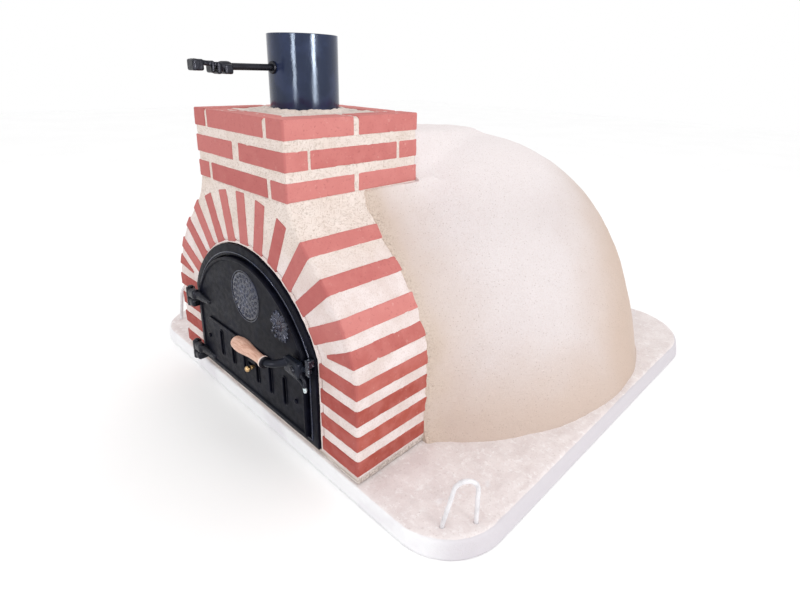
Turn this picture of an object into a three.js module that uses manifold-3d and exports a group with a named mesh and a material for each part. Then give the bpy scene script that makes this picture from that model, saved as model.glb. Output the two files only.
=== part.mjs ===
// Wood fired pizza oven: a plastered refractory dome behind a brick-faced arch and chimney,
// standing on a round-cornered concrete slab, with a cast iron door and a steel flue.
// Millimetres, +Z up. X runs right as seen from the door, -Y is the front.
// Origin: on the slab's underside, on its centre line, 600 behind its front edge.
import * as THREE from 'three';
import { mergeVertices } from 'three/addons/utils/BufferGeometryUtils.js';
import Module from 'manifold-3d';

const wasm = await Module();
wasm.setup();

// ---------- driving dimensions ----------
const GAP = 0.3;                       // clearance between touching pieces
const FACE_Y = -596;                   // front plane of the brickwork
const SLAB = { half: 600, frontY: -600, rearY: 545, thick: 40, topScale: 0.987 };
const SLAB_CORNER = { front: 125, rear: 175 };
const BED_Z = SLAB.thick + GAP;        // underside of everything that stands on the slab
const FAR = 1000;                      // beyond the whole object, for cutting right through

// dome: nested shells of one superellipse, each inset from the outer render
const DOME = { centreY: 30, radius: 588, height: 876, baseZ: -263, power: 2.47 };
const REAR = { ratio: 0.87, power: 2.2 };   // the dome's back half is shallower and squarer in plan
const FOOT_DROP = 20;                  // how far a dome-shaped cut runs on below the dome's foot
const RENDER_INSET = 30;               // render to insulation
const BLANKET_INSET = 110;             // insulation to refractory
const CHAMBER_INSET = 170;             // refractory to cooking chamber
const ROUND_STEPS = 32;
const PROFILE_STEPS = 7;

// brick-faced arch body
const BODY = { half: 360, arcRadius: 374, arcZ: 160, backY: -268, topZ: 689 };
const PLASTER_EDGE_Y = FACE_Y + 174;   // the render starts here on the sides of the arch
const PLASTER = { skin: 6, shoulderZ: 540 };
const RIDGE = { frontHalf: 165, backHalf: 60, backY: 90, footZ: 430, frontZ: 655, backZ: 628 };
const CHIMNEY = { half: 172, centreY: (FACE_Y + BODY.backY) / 2, baseZ: 541, coreTopZ: 687, ringWall: 45 };
const THROAT = { x: 110, y: 66, baseZ: 330 };
const THROAT_RADIUS = 62;

// bricks
const BRICK = { wide: 105, deep: 220, cutDeep: 92, proud: 1 };
const OPEN = 10;                       // gaps that a pocket runs out past a brick's bare face
const STRAIGHT = { count: 4, thick: 32, firstZ: 59, pitch: 54.5 };
const VOUSSOIR = { side: 5, crown: 2, thick: 34, pitchDeg: 12.3, centreZ: 174, innerRadius: 282,
  barLow: 200, barHigh: 420 };
const WEDGE = { tipDeg: 69.6, tipRadius: 296, highDeg: 67.8, lowDeg: 73.1, outerRadius: 369 };
const COURSE = { thick: 37, topZ: [578, 633, BODY.topZ] };

// door opening, and what stands in it
const DOOR = { half: 249, arcRadius: 275.5, arcZ: 141.6, baseZ: 59 };
const FRAME = { frontY: -603, rebateY: -591.5, backY: -567, rim: 25.5, step: 44, sill: 15.5, sillStep: 33 };
const OPENING_SLACK = 6.2;             // masonry opening beyond the frame
const ORNAMENT_PROUD = 4;              // height of the ledge and the reliefs on the leaf
const LEDGE = { left: -174, right: 97, low: 193, high: 200 };
const RELIEFS = [{ x: 10, z: 312, radius: 55, sides: 24 }, { x: 131, z: 292, radius: 34, sides: 16 }];
const LEAF = { inset: 28, sill: 18, frontY: -609, backY: -592, bead: 8, beadProud: 3 };
const FLOOR = { topZ: 90, underZ: 65.7, joint: 2 };
const MOUTH = { half: 190, arcRadius: 215, arcZ: 100 };

// hinges, latch and air vent on the door
const HINGE = { x: -250, y: -619, radius: 10.5, pin: 4, bore: 4.35 };
const LUGS = [{ name: 'upper', low: 207, split: 229, high: 254 },
  { name: 'lower', low: 60, split: 82, high: 107 }];
const KNUCKLE_GAP = 0.5;               // below each split, between the frame's knuckle and the leaf's
const PIVOT = { x: 212, z: 234, radius: 4, bore: 4.35, pad: 9, head: 8 };
const KEEPER = { left: 237, low: 229, footLow: 246, high: 262, frontY: FRAME.frontY - 15, lip: 4 };
const TONGUE = { right: 245, low: 232, high: 242, frontY: -613.5, backY: -606 };
const HUB = { left: 176, right: 228, low: 217, high: 251, backY: -612.5, frontY: -628 };
const GRIP = { y: -655, z: 238, from: 44, to: 157, bulb: 15, waist: 9.5, flare: 11.5, tang: 5, sunk: 80 };
const SLOTS = { first: -123, pitch: 54, count: 6, width: 9, low: 117, high: 179 };
const VENT = { travel: 20, low: 108, high: 188, left: -150, right: 188, frontY: -591.5, backY: -588.5 };
const RAIL_HALF = 198;                 // half length of the rails that hold the slider
const KNOB = { x: 22, z: 148, stem: 4, radius: 8, frontY: -630 };
const SCREW = { x: 187, z: 143, shank: 2.5, head: 5.5, length: 21 };

// flue and damper
const FLUE = { radius: 71.5, wall: 2.5, baseZ: 640, topZ: 838, y: CHIMNEY.centreY };
const CROWN = { foot: 20, lip: 7, rise: 9 };
const DAMPER = { z: 773, rod: 6.5, hub: 10, plate: 64, thick: 3 };
const BUSH = { wall: 1.7, flange: 12, thick: 4 };
const HANDLE = { backY: -592, tipY: -668, half: 14, coreHalf: 9, coreLow: 5, coreHigh: 7, barHigh: 11 };
// cross bars of the handle: where each starts and ends behind the tip, and how far it drops
const HANDLE_BARS = [[0, 20, 9], [34, 40, 12], [44, 53, 14], [59, 76, 14]];

// lifting loops cast into the slab
const LOOP = { rod: 4.2, rise: 94, sunk: 22, bend: 21.5, socket: 0.5 };
// the upright leg's foot, then the leaning leg's
const LOOP_FEET = { front: [[564, -503], [528, -551]], rear: [[362, 518], [302, 518]] };

// ---------- materials ----------
const standard = (color, roughness, metalness = 0) =>
  new THREE.MeshStandardMaterial({ color, roughness, metalness });
const concrete = standard(0xdcdcda, 0.9);
const mortar = standard(0xd9c6ba, 0.95);
const render = standard(0xe9e3d2, 0.9);
const brick = standard(0xc97a6c, 0.9);
const firebrick = standard(0xd8c3a0, 0.9);
const fibre = standard(0xf2f0ea, 1.0);
const castIron = standard(0x26272b, 0.45, 0.6);
const enamel = standard(0x17181b, 0.2, 0.5);
const whiteSteel = standard(0xe4e4e2, 0.5, 0.3);
const brass = standard(0xc9a352, 0.3, 0.9);
const wood = standard(0xe0bf98, 0.55);

const group = new THREE.Group();

// ---------- solids ----------
function clean(geometry) {
  const bare = geometry.index ? geometry.toNonIndexed() : geometry.clone();
  bare.deleteAttribute('normal');
  bare.deleteAttribute('uv');
  const merged = mergeVertices(bare, 1e-4);
  const old = merged.index.array;
  const kept = [];
  for (let i = 0; i < old.length; i += 3) {
    const [a, b, c] = [old[i], old[i + 1], old[i + 2]];
    if (a !== b && b !== c && a !== c) kept.push(a, b, c);
  }
  if (signedVolume(merged.attributes.position, kept) < 0) {
    for (let i = 0; i < kept.length; i += 3) [kept[i], kept[i + 1]] = [kept[i + 1], kept[i]];
  }
  merged.setIndex(kept);
  return merged;
}

function signedVolume(position, index) {
  const [a, b, c] = [new THREE.Vector3(), new THREE.Vector3(), new THREE.Vector3()];
  let volume = 0;
  for (let i = 0; i < index.length; i += 3) {
    a.fromBufferAttribute(position, index[i]);
    b.fromBufferAttribute(position, index[i + 1]);
    c.fromBufferAttribute(position, index[i + 2]);
    volume += a.dot(b.cross(c)) / 6;
  }
  return volume;
}

function solid(geometry) {
  const merged = clean(geometry);
  return new wasm.Manifold(new wasm.Mesh({
    numProp: 3,
    vertProperties: new Float32Array(merged.attributes.position.array),
    triVerts: new Uint32Array(merged.index.array),
  }));
}

function geometryOf(manifold) {
  const mesh = manifold.getMesh();
  const geometry = new THREE.BufferGeometry();
  geometry.setAttribute('position', new THREE.BufferAttribute(mesh.vertProperties, 3));
  geometry.setIndex(Array.from(mesh.triVerts));
  geometry.computeVertexNormals();
  return geometry;
}

const joined = (...pieces) => pieces.reduce((whole, piece) => whole.add(piece));
const cut = (piece, ...tools) => tools.reduce((whole, tool) => whole.subtract(tool), piece);

function add(name, manifold, material) {
  const mesh = new THREE.Mesh(geometryOf(manifold), material);
  mesh.name = name;
  group.add(mesh);
}

// ---------- shapes ----------
// a shape drawn in X and Z, pushed from yFront back to yBack
function pushed(shape, yFront, yBack, curveSegments = 10) {
  const options = { depth: yBack - yFront, bevelEnabled: false, curveSegments };
  return solid(new THREE.ExtrudeGeometry(shape, options).rotateX(Math.PI / 2).translate(0, yBack, 0));
}

// a shape drawn in Y and Z, pushed from xLeft across to xRight
function pushedAcross(shape, xLeft, xRight) {
  const geometry = new THREE.ExtrudeGeometry(shape, { depth: xRight - xLeft, bevelEnabled: false });
  return solid(geometry.rotateY(Math.PI / 2).rotateX(Math.PI / 2).translate(xLeft, 0, 0));
}

// a shape drawn in X and Y, raised from zLow to zHigh
function raised(shape, zLow, zHigh, curveSegments = 10) {
  const options = { depth: zHigh - zLow, bevelEnabled: false, curveSegments };
  return solid(new THREE.ExtrudeGeometry(shape, options).translate(0, 0, zLow));
}

function box(x0, x1, y0, y1, z0, z1) {
  const geometry = new THREE.BoxGeometry(x1 - x0, y1 - y0, z1 - z0);
  return solid(geometry.translate((x0 + x1) / 2, (y0 + y1) / 2, (z0 + z1) / 2));
}

function cylinderAlongY(x, z, radius, yFront, yBack, steps = 16) {
  const geometry = new THREE.CylinderGeometry(radius, radius, yBack - yFront, steps);
  return solid(geometry.translate(x, (yFront + yBack) / 2, z));
}

function cylinderAlongZ(x, y, radius, zLow, zHigh, steps = 16) {
  const geometry = new THREE.CylinderGeometry(radius, radius, zHigh - zLow, steps).rotateX(Math.PI / 2);
  return solid(geometry.translate(x, y, (zLow + zHigh) / 2));
}

// [radius, height] pairs turned about the Z axis
function lathe(profile, steps) {
  const points = profile.map(([radius, height]) => new THREE.Vector2(radius, height));
  return new THREE.LatheGeometry(points, steps).rotateX(Math.PI / 2);
}

const turned = (profile, steps = ROUND_STEPS) => solid(lathe(profile, steps));

function ring(inner, outer, zLow, zHigh, steps) {
  return turned([[inner, zLow], [outer, zLow], [outer, zHigh], [inner, zHigh], [inner, zLow]], steps);
}

function polygon(points) {
  return new THREE.Shape(points.map(([x, y]) => new THREE.Vector2(x, y)));
}

function archShape(half, arcRadius, arcZ, baseZ) {
  const spring = Math.acos(half / arcRadius);
  const shape = new THREE.Shape();
  shape.moveTo(-half, baseZ);
  shape.lineTo(half, baseZ);
  shape.absarc(0, arcZ, arcRadius, spring, Math.PI - spring, false);
  shape.closePath();
  return shape;
}

// the door outline, inset all round and lifted at the sill
const doorShape = (inset, sill = inset) =>
  archShape(DOOR.half - inset, DOOR.arcRadius - inset, DOOR.arcZ, DOOR.baseZ + sill);

// outline of the arch body with the chimney's foot on it, grown outwards by a margin
function bodyShape(grow, topZ = CHIMNEY.baseZ - GAP) {
  const radius = BODY.arcRadius + grow;
  const half = BODY.half + grow;
  const chimneyHalf = CHIMNEY.half + grow;
  const low = Math.acos(half / radius);
  const high = Math.acos(chimneyHalf / radius);
  const shape = new THREE.Shape();
  shape.moveTo(-half, BED_Z);
  shape.lineTo(half, BED_Z);
  shape.absarc(0, BODY.arcZ, radius, low, high, false);
  shape.lineTo(chimneyHalf, topZ);
  shape.lineTo(-chimneyHalf, topZ);
  shape.absarc(0, BODY.arcZ, radius, Math.PI - high, Math.PI - low, false);
  shape.closePath();
  return shape;
}

// [radius, z] pairs of a dome surface inset from the outer render, foot first
function domeProfile(inset) {
  const radius = DOME.radius - inset;
  const height = DOME.height - inset;
  const foot = Math.asin(Math.pow((BED_Z - DOME.baseZ) / height, DOME.power / 2));
  const profile = [];
  for (let i = 0; i <= PROFILE_STEPS; i++) {
    const t = foot + (Math.PI / 2 - foot) * i / PROFILE_STEPS;
    const r = i === PROFILE_STEPS ? 0 : radius * Math.pow(Math.cos(t), 2 / DOME.power);
    profile.push([r, DOME.baseZ + height * Math.pow(Math.sin(t), 2 / DOME.power)]);
  }
  return profile;
}

// draws the back half of a round shape in to the dome's squarer, shallower plan
function flattenRear(geometry) {
  const position = geometry.attributes.position;
  const { ratio, power } = REAR;
  for (let i = 0; i < position.count; i++) {
    const [x, y] = [position.getX(i), position.getY(i)];
    if (y <= 0) continue;
    const square = Math.pow(Math.pow(Math.abs(x), power) + Math.pow(y / ratio, power), 1 / power);
    const scale = Math.hypot(x, y) / square;
    position.setXY(i, x * scale, y * scale);
  }
  return geometry;
}

const domeTurned = (profile) =>
  solid(flattenRear(lathe(profile, ROUND_STEPS)).translate(0, DOME.centreY, 0));

const domeShell = (outer, inner) => domeTurned([...domeProfile(inner).reverse(), ...domeProfile(outer)]);

// a dome surface filled in, with its foot carried straight down by drop
const domeSolid = (inset, drop = 0) => {
  const profile = domeProfile(inset);
  const [radius, footZ] = profile[0];
  return domeTurned([[0, footZ - drop], [radius, footZ - drop], ...profile]);
};

// ---------- slab and lifting loops ----------
function slabShape() {
  const { half, frontY, rearY } = SLAB;
  const { front, rear } = SLAB_CORNER;
  const shape = new THREE.Shape();
  shape.moveTo(front - half, frontY);
  shape.absarc(half - front, frontY + front, front, -Math.PI / 2, 0, false);
  shape.absarc(half - rear, rearY - rear, rear, 0, Math.PI / 2, false);
  shape.absarc(rear - half, rearY - rear, rear, Math.PI / 2, Math.PI, false);
  shape.absarc(front - half, frontY + front, front, Math.PI, 1.5 * Math.PI, false);
  return shape;
}

// the slab, narrower at the top than at the bottom
function leaningSlab() {
  const options = { depth: SLAB.thick, bevelEnabled: false, curveSegments: 6 };
  const geometry = new THREE.ExtrudeGeometry(slabShape(), options);
  const position = geometry.attributes.position;
  for (let i = 0; i < position.count; i++) {
    if (position.getZ(i) > 0) position.setX(i, position.getX(i) * SLAB.topScale);
  }
  return solid(geometry);
}

// round rod bent into a loop: one leg upright, the other leaning towards it; grow makes its socket
function loopRod([upright, leaning], signX, grow) {
  const [a, b] = [upright, leaning].map(([x, y]) => new THREE.Vector3(signX * x, y, 0));
  const sunkZ = SLAB.thick - LOOP.sunk + GAP - grow;
  const bendZ = SLAB.thick + LOOP.rise - LOOP.rod - LOOP.bend;
  const across = b.clone().sub(a).normalize();
  const centre = a.clone().addScaledVector(across, LOOP.bend);
  const points = [a.clone().setZ(sunkZ), a.clone().setZ((sunkZ + bendZ) / 2)];
  for (let i = 0; i <= 8; i++) {
    const t = Math.PI * i / 8;
    const height = bendZ + LOOP.bend * Math.sin(t);
    points.push(centre.clone().addScaledVector(across, -LOOP.bend * Math.cos(t)).setZ(height));
  }
  points.push(b.clone().setZ(SLAB.thick), b.clone().setZ(sunkZ));
  const extrudePath = new THREE.CatmullRomCurve3(points, false, 'chordal');
  return solid(new THREE.ExtrudeGeometry(circleShape(LOOP.rod + grow, 8), { steps: 24, extrudePath }));
}

function circleShape(radius, sides) {
  const shape = new THREE.Shape();
  for (let i = 0; i < sides; i++) {
    const t = 2 * Math.PI * i / sides;
    if (i === 0) shape.moveTo(radius, 0);
    else shape.lineTo(radius * Math.cos(t), radius * Math.sin(t));
  }
  shape.closePath();
  return shape;
}

function buildSlab() {
  const sockets = [];
  for (const [end, feet] of Object.entries(LOOP_FEET)) {
    for (const [side, signX] of [['left', -1], ['right', 1]]) {
      add(`lifting_loop_${end}_${side}`, loopRod(feet, signX, 0), whiteSteel);
      sockets.push(loopRod(feet, signX, LOOP.socket));
    }
  }
  add('base_slab', cut(leaningSlab(), ...sockets), concrete);
}

// ---------- hearth ----------
function buildHearth() {
  const footRadius = domeProfile(CHAMBER_INSET)[0][0];
  const boardTop = FLOOR.underZ - GAP;
  const wall = domeSolid(CHAMBER_INSET + 1);
  add('hearth_board', wall.intersect(box(-FAR, FAR, -FAR, FAR, BED_Z, boardTop)), fibre);
  const j = FLOOR.joint / 2;
  const quarters = [['front_left', -1, -1], ['front_right', 1, -1], ['rear_left', -1, 1],
    ['rear_right', 1, 1]];
  for (const [place, signX, signY] of quarters) {
    const [x0, x1] = signX < 0 ? [-FAR, -j] : [j, FAR];
    const [y0, y1] = signY < 0 ? [-FAR, -j] : [j, FAR];
    const block = box(x0, x1, DOME.centreY + y0, DOME.centreY + y1, FLOOR.underZ, FLOOR.topZ);
    add(`hearth_tile_${place}`, wall.intersect(block), firebrick);
  }
  const reach = DOOR.half - FRAME.step - 1;
  const entry = box(-reach, reach, FRAME.backY + 1, DOME.centreY - footRadius / 2, FLOOR.underZ, FLOOR.topZ);
  const mouthTile = entry.intersect(box(-MOUTH.half + 1, MOUTH.half - 1, -FAR, 0, 0, FAR));
  const domeFrontY = DOME.centreY - domeProfile(BLANKET_INSET)[0][0];
  const front = entry.intersect(box(-FAR, FAR, -FAR, domeFrontY, 0, FAR));
  add('entry_tile', cut(joined(mouthTile, front), domeSolid(CHAMBER_INSET + 0.5, FOOT_DROP)), firebrick);
}

// ---------- dome ----------
// ridge of render that runs down from the back of the chimney onto the dome, narrowing as it goes
function buildRidge() {
  const { frontHalf, backHalf, backY, footZ, frontZ, backZ } = RIDGE;
  const frontY = BODY.backY - 10;
  const plan = polygon([[-frontHalf, frontY], [frontHalf, frontY], [backHalf, backY], [-backHalf, backY]]);
  const side = polygon([[frontY, footZ], [backY, footZ], [backY, backZ], [frontY, frontZ]]);
  return raised(plan, footZ, frontZ).intersect(pushedAcross(side, -frontHalf, frontHalf));
}

function buildDome(pockets) {
  const mouthShape = archShape(MOUTH.half, MOUTH.arcRadius, MOUTH.arcZ, FLOOR.underZ - GAP);
  const mouth = pushed(mouthShape, -FAR, DOME.centreY - 150);
  add('refractory_dome', cut(domeShell(BLANKET_INSET + GAP, CHAMBER_INSET), mouth), firebrick);

  const arch = pushed(bodyShape(GAP, BODY.topZ), -FAR, BODY.backY + GAP);
  add('insulation_layer', cut(domeShell(RENDER_INSET + GAP, BLANKET_INSET), arch), fibre);

  const saddle = pushed(bodyShape(PLASTER.skin, PLASTER.shoulderZ), PLASTER_EDGE_Y, BODY.backY + 40);
  const whole = joined(domeSolid(0), saddle, buildRidge());
  add('render_shell', cut(whole, domeSolid(RENDER_INSET, FOOT_DROP), arch, ...pockets), render);
}

// ---------- brickwork ----------
// radial brick of the arch; grow widens it into its pocket, here and in every brick below
function voussoir(index, grow) {
  const half = VOUSSOIR.thick / 2 + grow;
  const front = FACE_Y - BRICK.proud - OPEN * grow;
  const crown = Math.abs(index) <= VOUSSOIR.crown;
  const back = FACE_Y + (crown ? BRICK.cutDeep : BRICK.deep) + grow;
  const bar = box(-half, half, front, back, VOUSSOIR.barLow, VOUSSOIR.barHigh);
  const placed = bar.rotate([0, index * VOUSSOIR.pitchDeg, 0]).translate([0, 0, VOUSSOIR.centreZ]);
  const outside = BODY.arcRadius + (crown ? grow : 2 * OPEN * grow);
  const outer = cylinderAlongY(0, BODY.arcZ, outside, -FAR, 0, 72);
  const inner = cylinderAlongY(0, DOOR.arcZ, VOUSSOIR.innerRadius - 2 * OPEN * grow, -FAR, 1, 72);
  return cut(placed.intersect(outer), inner);
}

// tapered closer between the lowest radial brick and the straight courses
function wedge(sign, grow) {
  const radius = WEDGE.outerRadius + 2 * OPEN * grow;
  const turn = 2 * grow;
  const corners = [[WEDGE.tipDeg, WEDGE.tipRadius - OPEN * grow], [WEDGE.highDeg - turn, radius],
    [WEDGE.lowDeg + turn, radius]];
  const shape = new THREE.Shape(corners.map(([degrees, reach]) => {
    const t = THREE.MathUtils.degToRad(degrees);
    return new THREE.Vector2(sign * reach * Math.sin(t), VOUSSOIR.centreZ + reach * Math.cos(t));
  }));
  const front = FACE_Y - BRICK.proud - OPEN * grow;
  return pushed(shape, front, FACE_Y + BRICK.deep + grow);
}

function straightBrick(sign, course, grow) {
  const z = STRAIGHT.firstZ + course * STRAIGHT.pitch;
  const near = BODY.half - BRICK.wide + 1 - OPEN * grow;
  const far = BODY.half + BRICK.proud + OPEN * grow;
  const [x0, x1] = sign < 0 ? [-far, -near] : [near, far];
  const front = FACE_Y - BRICK.proud - OPEN * grow;
  return box(x0, x1, front, FACE_Y + BRICK.deep + grow, z - grow, z + STRAIGHT.thick + grow);
}

// band of bricks round the chimney core
function chimneyCourse(topZ, grow) {
  const out = CHIMNEY.half + BRICK.proud + OPEN * grow;
  const halfDeep = (BODY.backY - FACE_Y) / 2 + BRICK.proud + OPEN * grow;
  const wall = CHIMNEY.ringWall + (OPEN + 1) * grow;
  const [z0, z1] = [topZ - COURSE.thick - grow, topZ + grow];
  const y = CHIMNEY.centreY;
  const block = box(-out, out, y - halfDeep, y + halfDeep, z0, z1);
  return cut(block, box(-out + wall, out - wall, y - halfDeep + wall, y + halfDeep - wall, z0 - 1, z1 + 1));
}

// lays every brick, and returns the pockets that they sit in
function layBricks() {
  const pockets = [];
  for (const [side, sign] of [['left', -1], ['right', 1]]) {
    for (let course = 0; course < STRAIGHT.count; course++) {
      add(`jamb_brick_${side}_${course + 1}`, straightBrick(sign, course, 0), brick);
      pockets.push(straightBrick(sign, course, GAP));
    }
    add(`arch_wedge_${side}`, wedge(sign, 0), brick);
    pockets.push(wedge(sign, GAP));
  }
  for (let index = -VOUSSOIR.side; index <= VOUSSOIR.side; index++) {
    add(`arch_brick_${index + VOUSSOIR.side + 1}`, voussoir(index, 0), brick);
    pockets.push(voussoir(index, GAP));
  }
  const names = ['bottom', 'middle', 'top'];
  COURSE.topZ.forEach((topZ, i) => {
    add(`chimney_course_${names[i]}`, chimneyCourse(topZ, 0), brick);
    pockets.push(chimneyCourse(topZ, GAP));
  });
  return pockets;
}

function buildMasonry(pockets) {
  const frameSeat = pushed(doorShape(-OPENING_SLACK, 0), FACE_Y - 1, FRAME.backY + 1);
  const tunnel = pushed(doorShape(FRAME.step, FLOOR.underZ - GAP - DOOR.baseZ), FACE_Y - 1, BODY.backY + 1);
  const throat = box(-THROAT.x, THROAT.x, CHIMNEY.centreY - THROAT.y, CHIMNEY.centreY + THROAT.y,
    THROAT.baseZ, CHIMNEY.baseZ);
  const block = pushed(bodyShape(0), FACE_Y, BODY.backY);
  const dome = domeSolid(BLANKET_INSET, FOOT_DROP);
  add('arch_masonry', cut(block, frameSeat, tunnel, throat, dome, ...pockets), mortar);

  const { half, baseZ, coreTopZ } = CHIMNEY;
  const stack = box(-half, half, FACE_Y, BODY.backY, baseZ, coreTopZ);
  const gather = cylinderAlongZ(0, FLUE.y, THROAT_RADIUS, baseZ - 1, FLUE.baseZ, 24);
  const socket = cylinderAlongZ(0, FLUE.y, FLUE.radius + 1, FLUE.baseZ - GAP, BODY.topZ + 1, 32);
  add('chimney_core', cut(stack, gather, socket, ...pockets), mortar);
}

// ---------- flue and damper ----------
function alongRod(manifold) {
  return manifold.rotate([90, 0, 0]).translate([0, FLUE.y, DAMPER.z]);
}

function buildFlue() {
  const inner = FLUE.radius - FLUE.wall;
  const pipe = ring(inner, FLUE.radius, FLUE.baseZ, FLUE.topZ, 32).translate([0, FLUE.y, 0]);
  const bore = cylinderAlongY(0, DAMPER.z, DAMPER.rod + 2.3, -FAR, 0);
  add('flue_pipe', cut(pipe, bore), enamel);

  const [inside, foot, lip] = [1, CROWN.foot, CROWN.lip].map((out) => FLUE.radius + out);
  const low = CHIMNEY.coreTopZ + GAP;
  const high = low + CROWN.rise;
  const crown = turned([[inside, low], [foot, low], [lip, high - 2], [inside, high], [inside, low]], 32);
  add('flue_mortar_crown', crown.translate([0, FLUE.y, 0]), mortar);
}

function buildDamper() {
  const { rod, hub, plate, thick, z } = DAMPER;
  const reach = FLUE.radius + 10;
  add('damper_rod', cylinderAlongY(0, z, rod, HANDLE.backY - 12, FLUE.y + reach), castIron);

  const bore = cylinderAlongY(0, z, rod + GAP, -FAR, 0);
  const disc = solid(new THREE.CylinderGeometry(plate, plate, thick, 32).rotateZ(Math.PI / 2))
    .translate([0, FLUE.y, z]);
  const sleeve = cylinderAlongY(0, z, hub, FLUE.y - plate + 4, FLUE.y + plate - 4);
  add('damper_plate', cut(joined(disc, sleeve), bore), castIron);

  const [inner, outer] = [rod + GAP, rod + GAP + BUSH.wall];
  const start = FLUE.radius - FLUE.wall - 1;
  const face = FLUE.radius + GAP;
  const end = face + BUSH.thick;
  const profile = [[inner, start], [outer, start], [outer, face], [BUSH.flange, face], [BUSH.flange, end],
    [inner, end], [inner, start]];
  add('damper_bush_front', alongRod(turned(profile, 20)), castIron);
  add('damper_bush_rear', alongRod(turned(profile, 20).rotate([180, 0, 0])), castIron);
}

// flat cast handle, drawn from the side with Y running back and Z up
function buildDamperHandle() {
  const { backY, tipY, half, coreHalf, coreLow, coreHigh, barHigh } = HANDLE;
  const { z, rod } = DAMPER;
  const core = box(-coreHalf, coreHalf, tipY, backY, z - coreLow, z + coreHigh);
  const ribs = HANDLE_BARS.map(([from, to, drop]) =>
    box(-half, half, tipY + from, tipY + to, z - drop, z + barHigh));
  const bore = cylinderAlongY(0, z, rod + GAP, backY - 14, backY + 1);
  add('damper_handle', cut(joined(core, ...ribs), bore), castIron);
}

// ---------- door frame and hinges ----------
const knuckle = (low, high) => cylinderAlongZ(HINGE.x, HINGE.y, HINGE.radius, low, high);
const pinBore = (low, high) => cylinderAlongZ(HINGE.x, HINGE.y, HINGE.bore, low - 1, high + 1);

function buildFrame() {
  const plate = pushed(doorShape(0), FRAME.frontY, FRAME.backY);
  const through = pushed(doorShape(FRAME.step, FRAME.sillStep), FRAME.frontY - 1, FRAME.backY + 1);
  const rebate = pushed(doorShape(FRAME.rim, FRAME.sill), FRAME.frontY - 1, FRAME.rebateY);
  const arm = polygon([[HINGE.x - 9, HINGE.y], [HINGE.x + 9, HINGE.y - 3], [-225, FRAME.frontY - 3],
    [-225, FRAME.frontY + 4], [-246, FRAME.frontY + 4]]);
  const lugs = LUGS.flatMap(({ low, split }) =>
    [raised(arm, low, split - KNUCKLE_GAP), knuckle(low, split - KNUCKLE_GAP)]);
  const bores = LUGS.map(({ low, split }) => pinBore(low, split));
  add('door_frame', cut(joined(plate, ...lugs), through, rebate, ...bores), castIron);

  for (const { name, low, high } of LUGS) {
    const shank = cylinderAlongZ(HINGE.x, HINGE.y, HINGE.pin, low + 1, high + 1);
    const head = cylinderAlongZ(HINGE.x, HINGE.y, HINGE.pin + 3, high + 0.5, high + 4);
    add(`hinge_pin_${name}`, joined(shank, head), castIron);
  }
}

function buildKeeper() {
  const { left, low, footLow, high, frontY, lip: thick } = KEEPER;
  const foot = box(left, DOOR.half, frontY, FRAME.frontY - GAP, footLow, high);
  const lip = box(left, DOOR.half, frontY, frontY + thick, low, high);
  add('latch_keeper', joined(foot, lip), castIron);
}

// ---------- door leaf ----------
function slotRow(shift, yFront, yBack) {
  const half = SLOTS.width / 2;
  const slots = [];
  for (let i = 0; i < SLOTS.count; i++) {
    const x = SLOTS.first + i * SLOTS.pitch + shift;
    slots.push(box(x - half, x + half, yFront, yBack, SLOTS.low, SLOTS.high));
  }
  return slots;
}

// hooked rails above and below the vent slider
function railPair() {
  const [left, right] = [-RAIL_HALF, RAIL_HALF];
  const pair = [];
  for (const [edge, sign] of [[VENT.high, 1], [VENT.low, -1]]) {
    const span = (a, b) => [edge + sign * a, edge + sign * b].sort((p, q) => p - q);
    pair.push(box(left, right, LEAF.backY - 1, VENT.backY + 3.5, ...span(0.4, 6)));
    pair.push(box(left, right, VENT.backY + 0.5, VENT.backY + 3.5, ...span(-4, 1)));
  }
  return pair;
}

function buildLeaf() {
  const outline = doorShape(LEAF.inset, LEAF.sill);
  const plate = pushed(outline, LEAF.frontY, LEAF.backY);
  const beadFront = LEAF.frontY - LEAF.beadProud;
  const hollow = doorShape(LEAF.inset + LEAF.bead, LEAF.sill + LEAF.bead);
  const band = pushed(outline, beadFront, LEAF.frontY + 1);
  const bead = cut(band, pushed(hollow, beadFront - 1, LEAF.frontY + 2));
  const proudY = LEAF.frontY - ORNAMENT_PROUD;
  const ledge = box(LEDGE.left, LEDGE.right, proudY, LEAF.frontY + 1, LEDGE.low, LEDGE.high);
  const pad = cylinderAlongY(PIVOT.x, PIVOT.z, PIVOT.pad, HUB.backY + GAP, LEAF.frontY + 1);
  const reliefs = RELIEFS.map(({ x, z, radius, sides }) =>
    cylinderAlongY(x, z, radius, proudY, LEAF.frontY + 1, sides));
  const arm = polygon([[HINGE.x, HINGE.y - 10], [-190, LEAF.frontY - 4], [-190, LEAF.frontY + 2],
    [-220, FRAME.frontY - 1.5], [HINGE.x, HINGE.y + 9]]);
  const arms = LUGS.flatMap(({ split, high }) => [raised(arm, split, high), knuckle(split, high)]);
  const pinBores = LUGS.map(({ split, high }) => pinBore(split, high));
  const stemHalf = KNOB.stem + 0.5;
  const stemSlot = box(KNOB.x - VENT.travel - stemHalf, KNOB.x + stemHalf, -FAR, 0, KNOB.z - stemHalf,
    KNOB.z + stemHalf);
  const screwBore = SCREW.shank + 0.4;
  const holes = [-1, 1].map((sign) => cylinderAlongY(sign * SCREW.x, SCREW.z, screwBore, -FAR, 0, 12));
  const pivotBore = cylinderAlongY(PIVOT.x, PIVOT.z, PIVOT.bore, -FAR, 0);
  const whole = joined(plate, bead, ledge, pad, ...reliefs, ...arms, ...railPair());
  const slots = slotRow(0, -FAR, 0);
  add('door_leaf', cut(whole, ...slots, stemSlot, pivotBore, ...pinBores, ...holes), castIron);
}

// lathe work about the Y axis: [radius, distance forward of yBack]
function turnedForward(x, z, yBack, profile, steps = 16) {
  return turned(profile, steps).rotate([90, 0, 0]).translate([x, yBack, z]);
}

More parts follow.
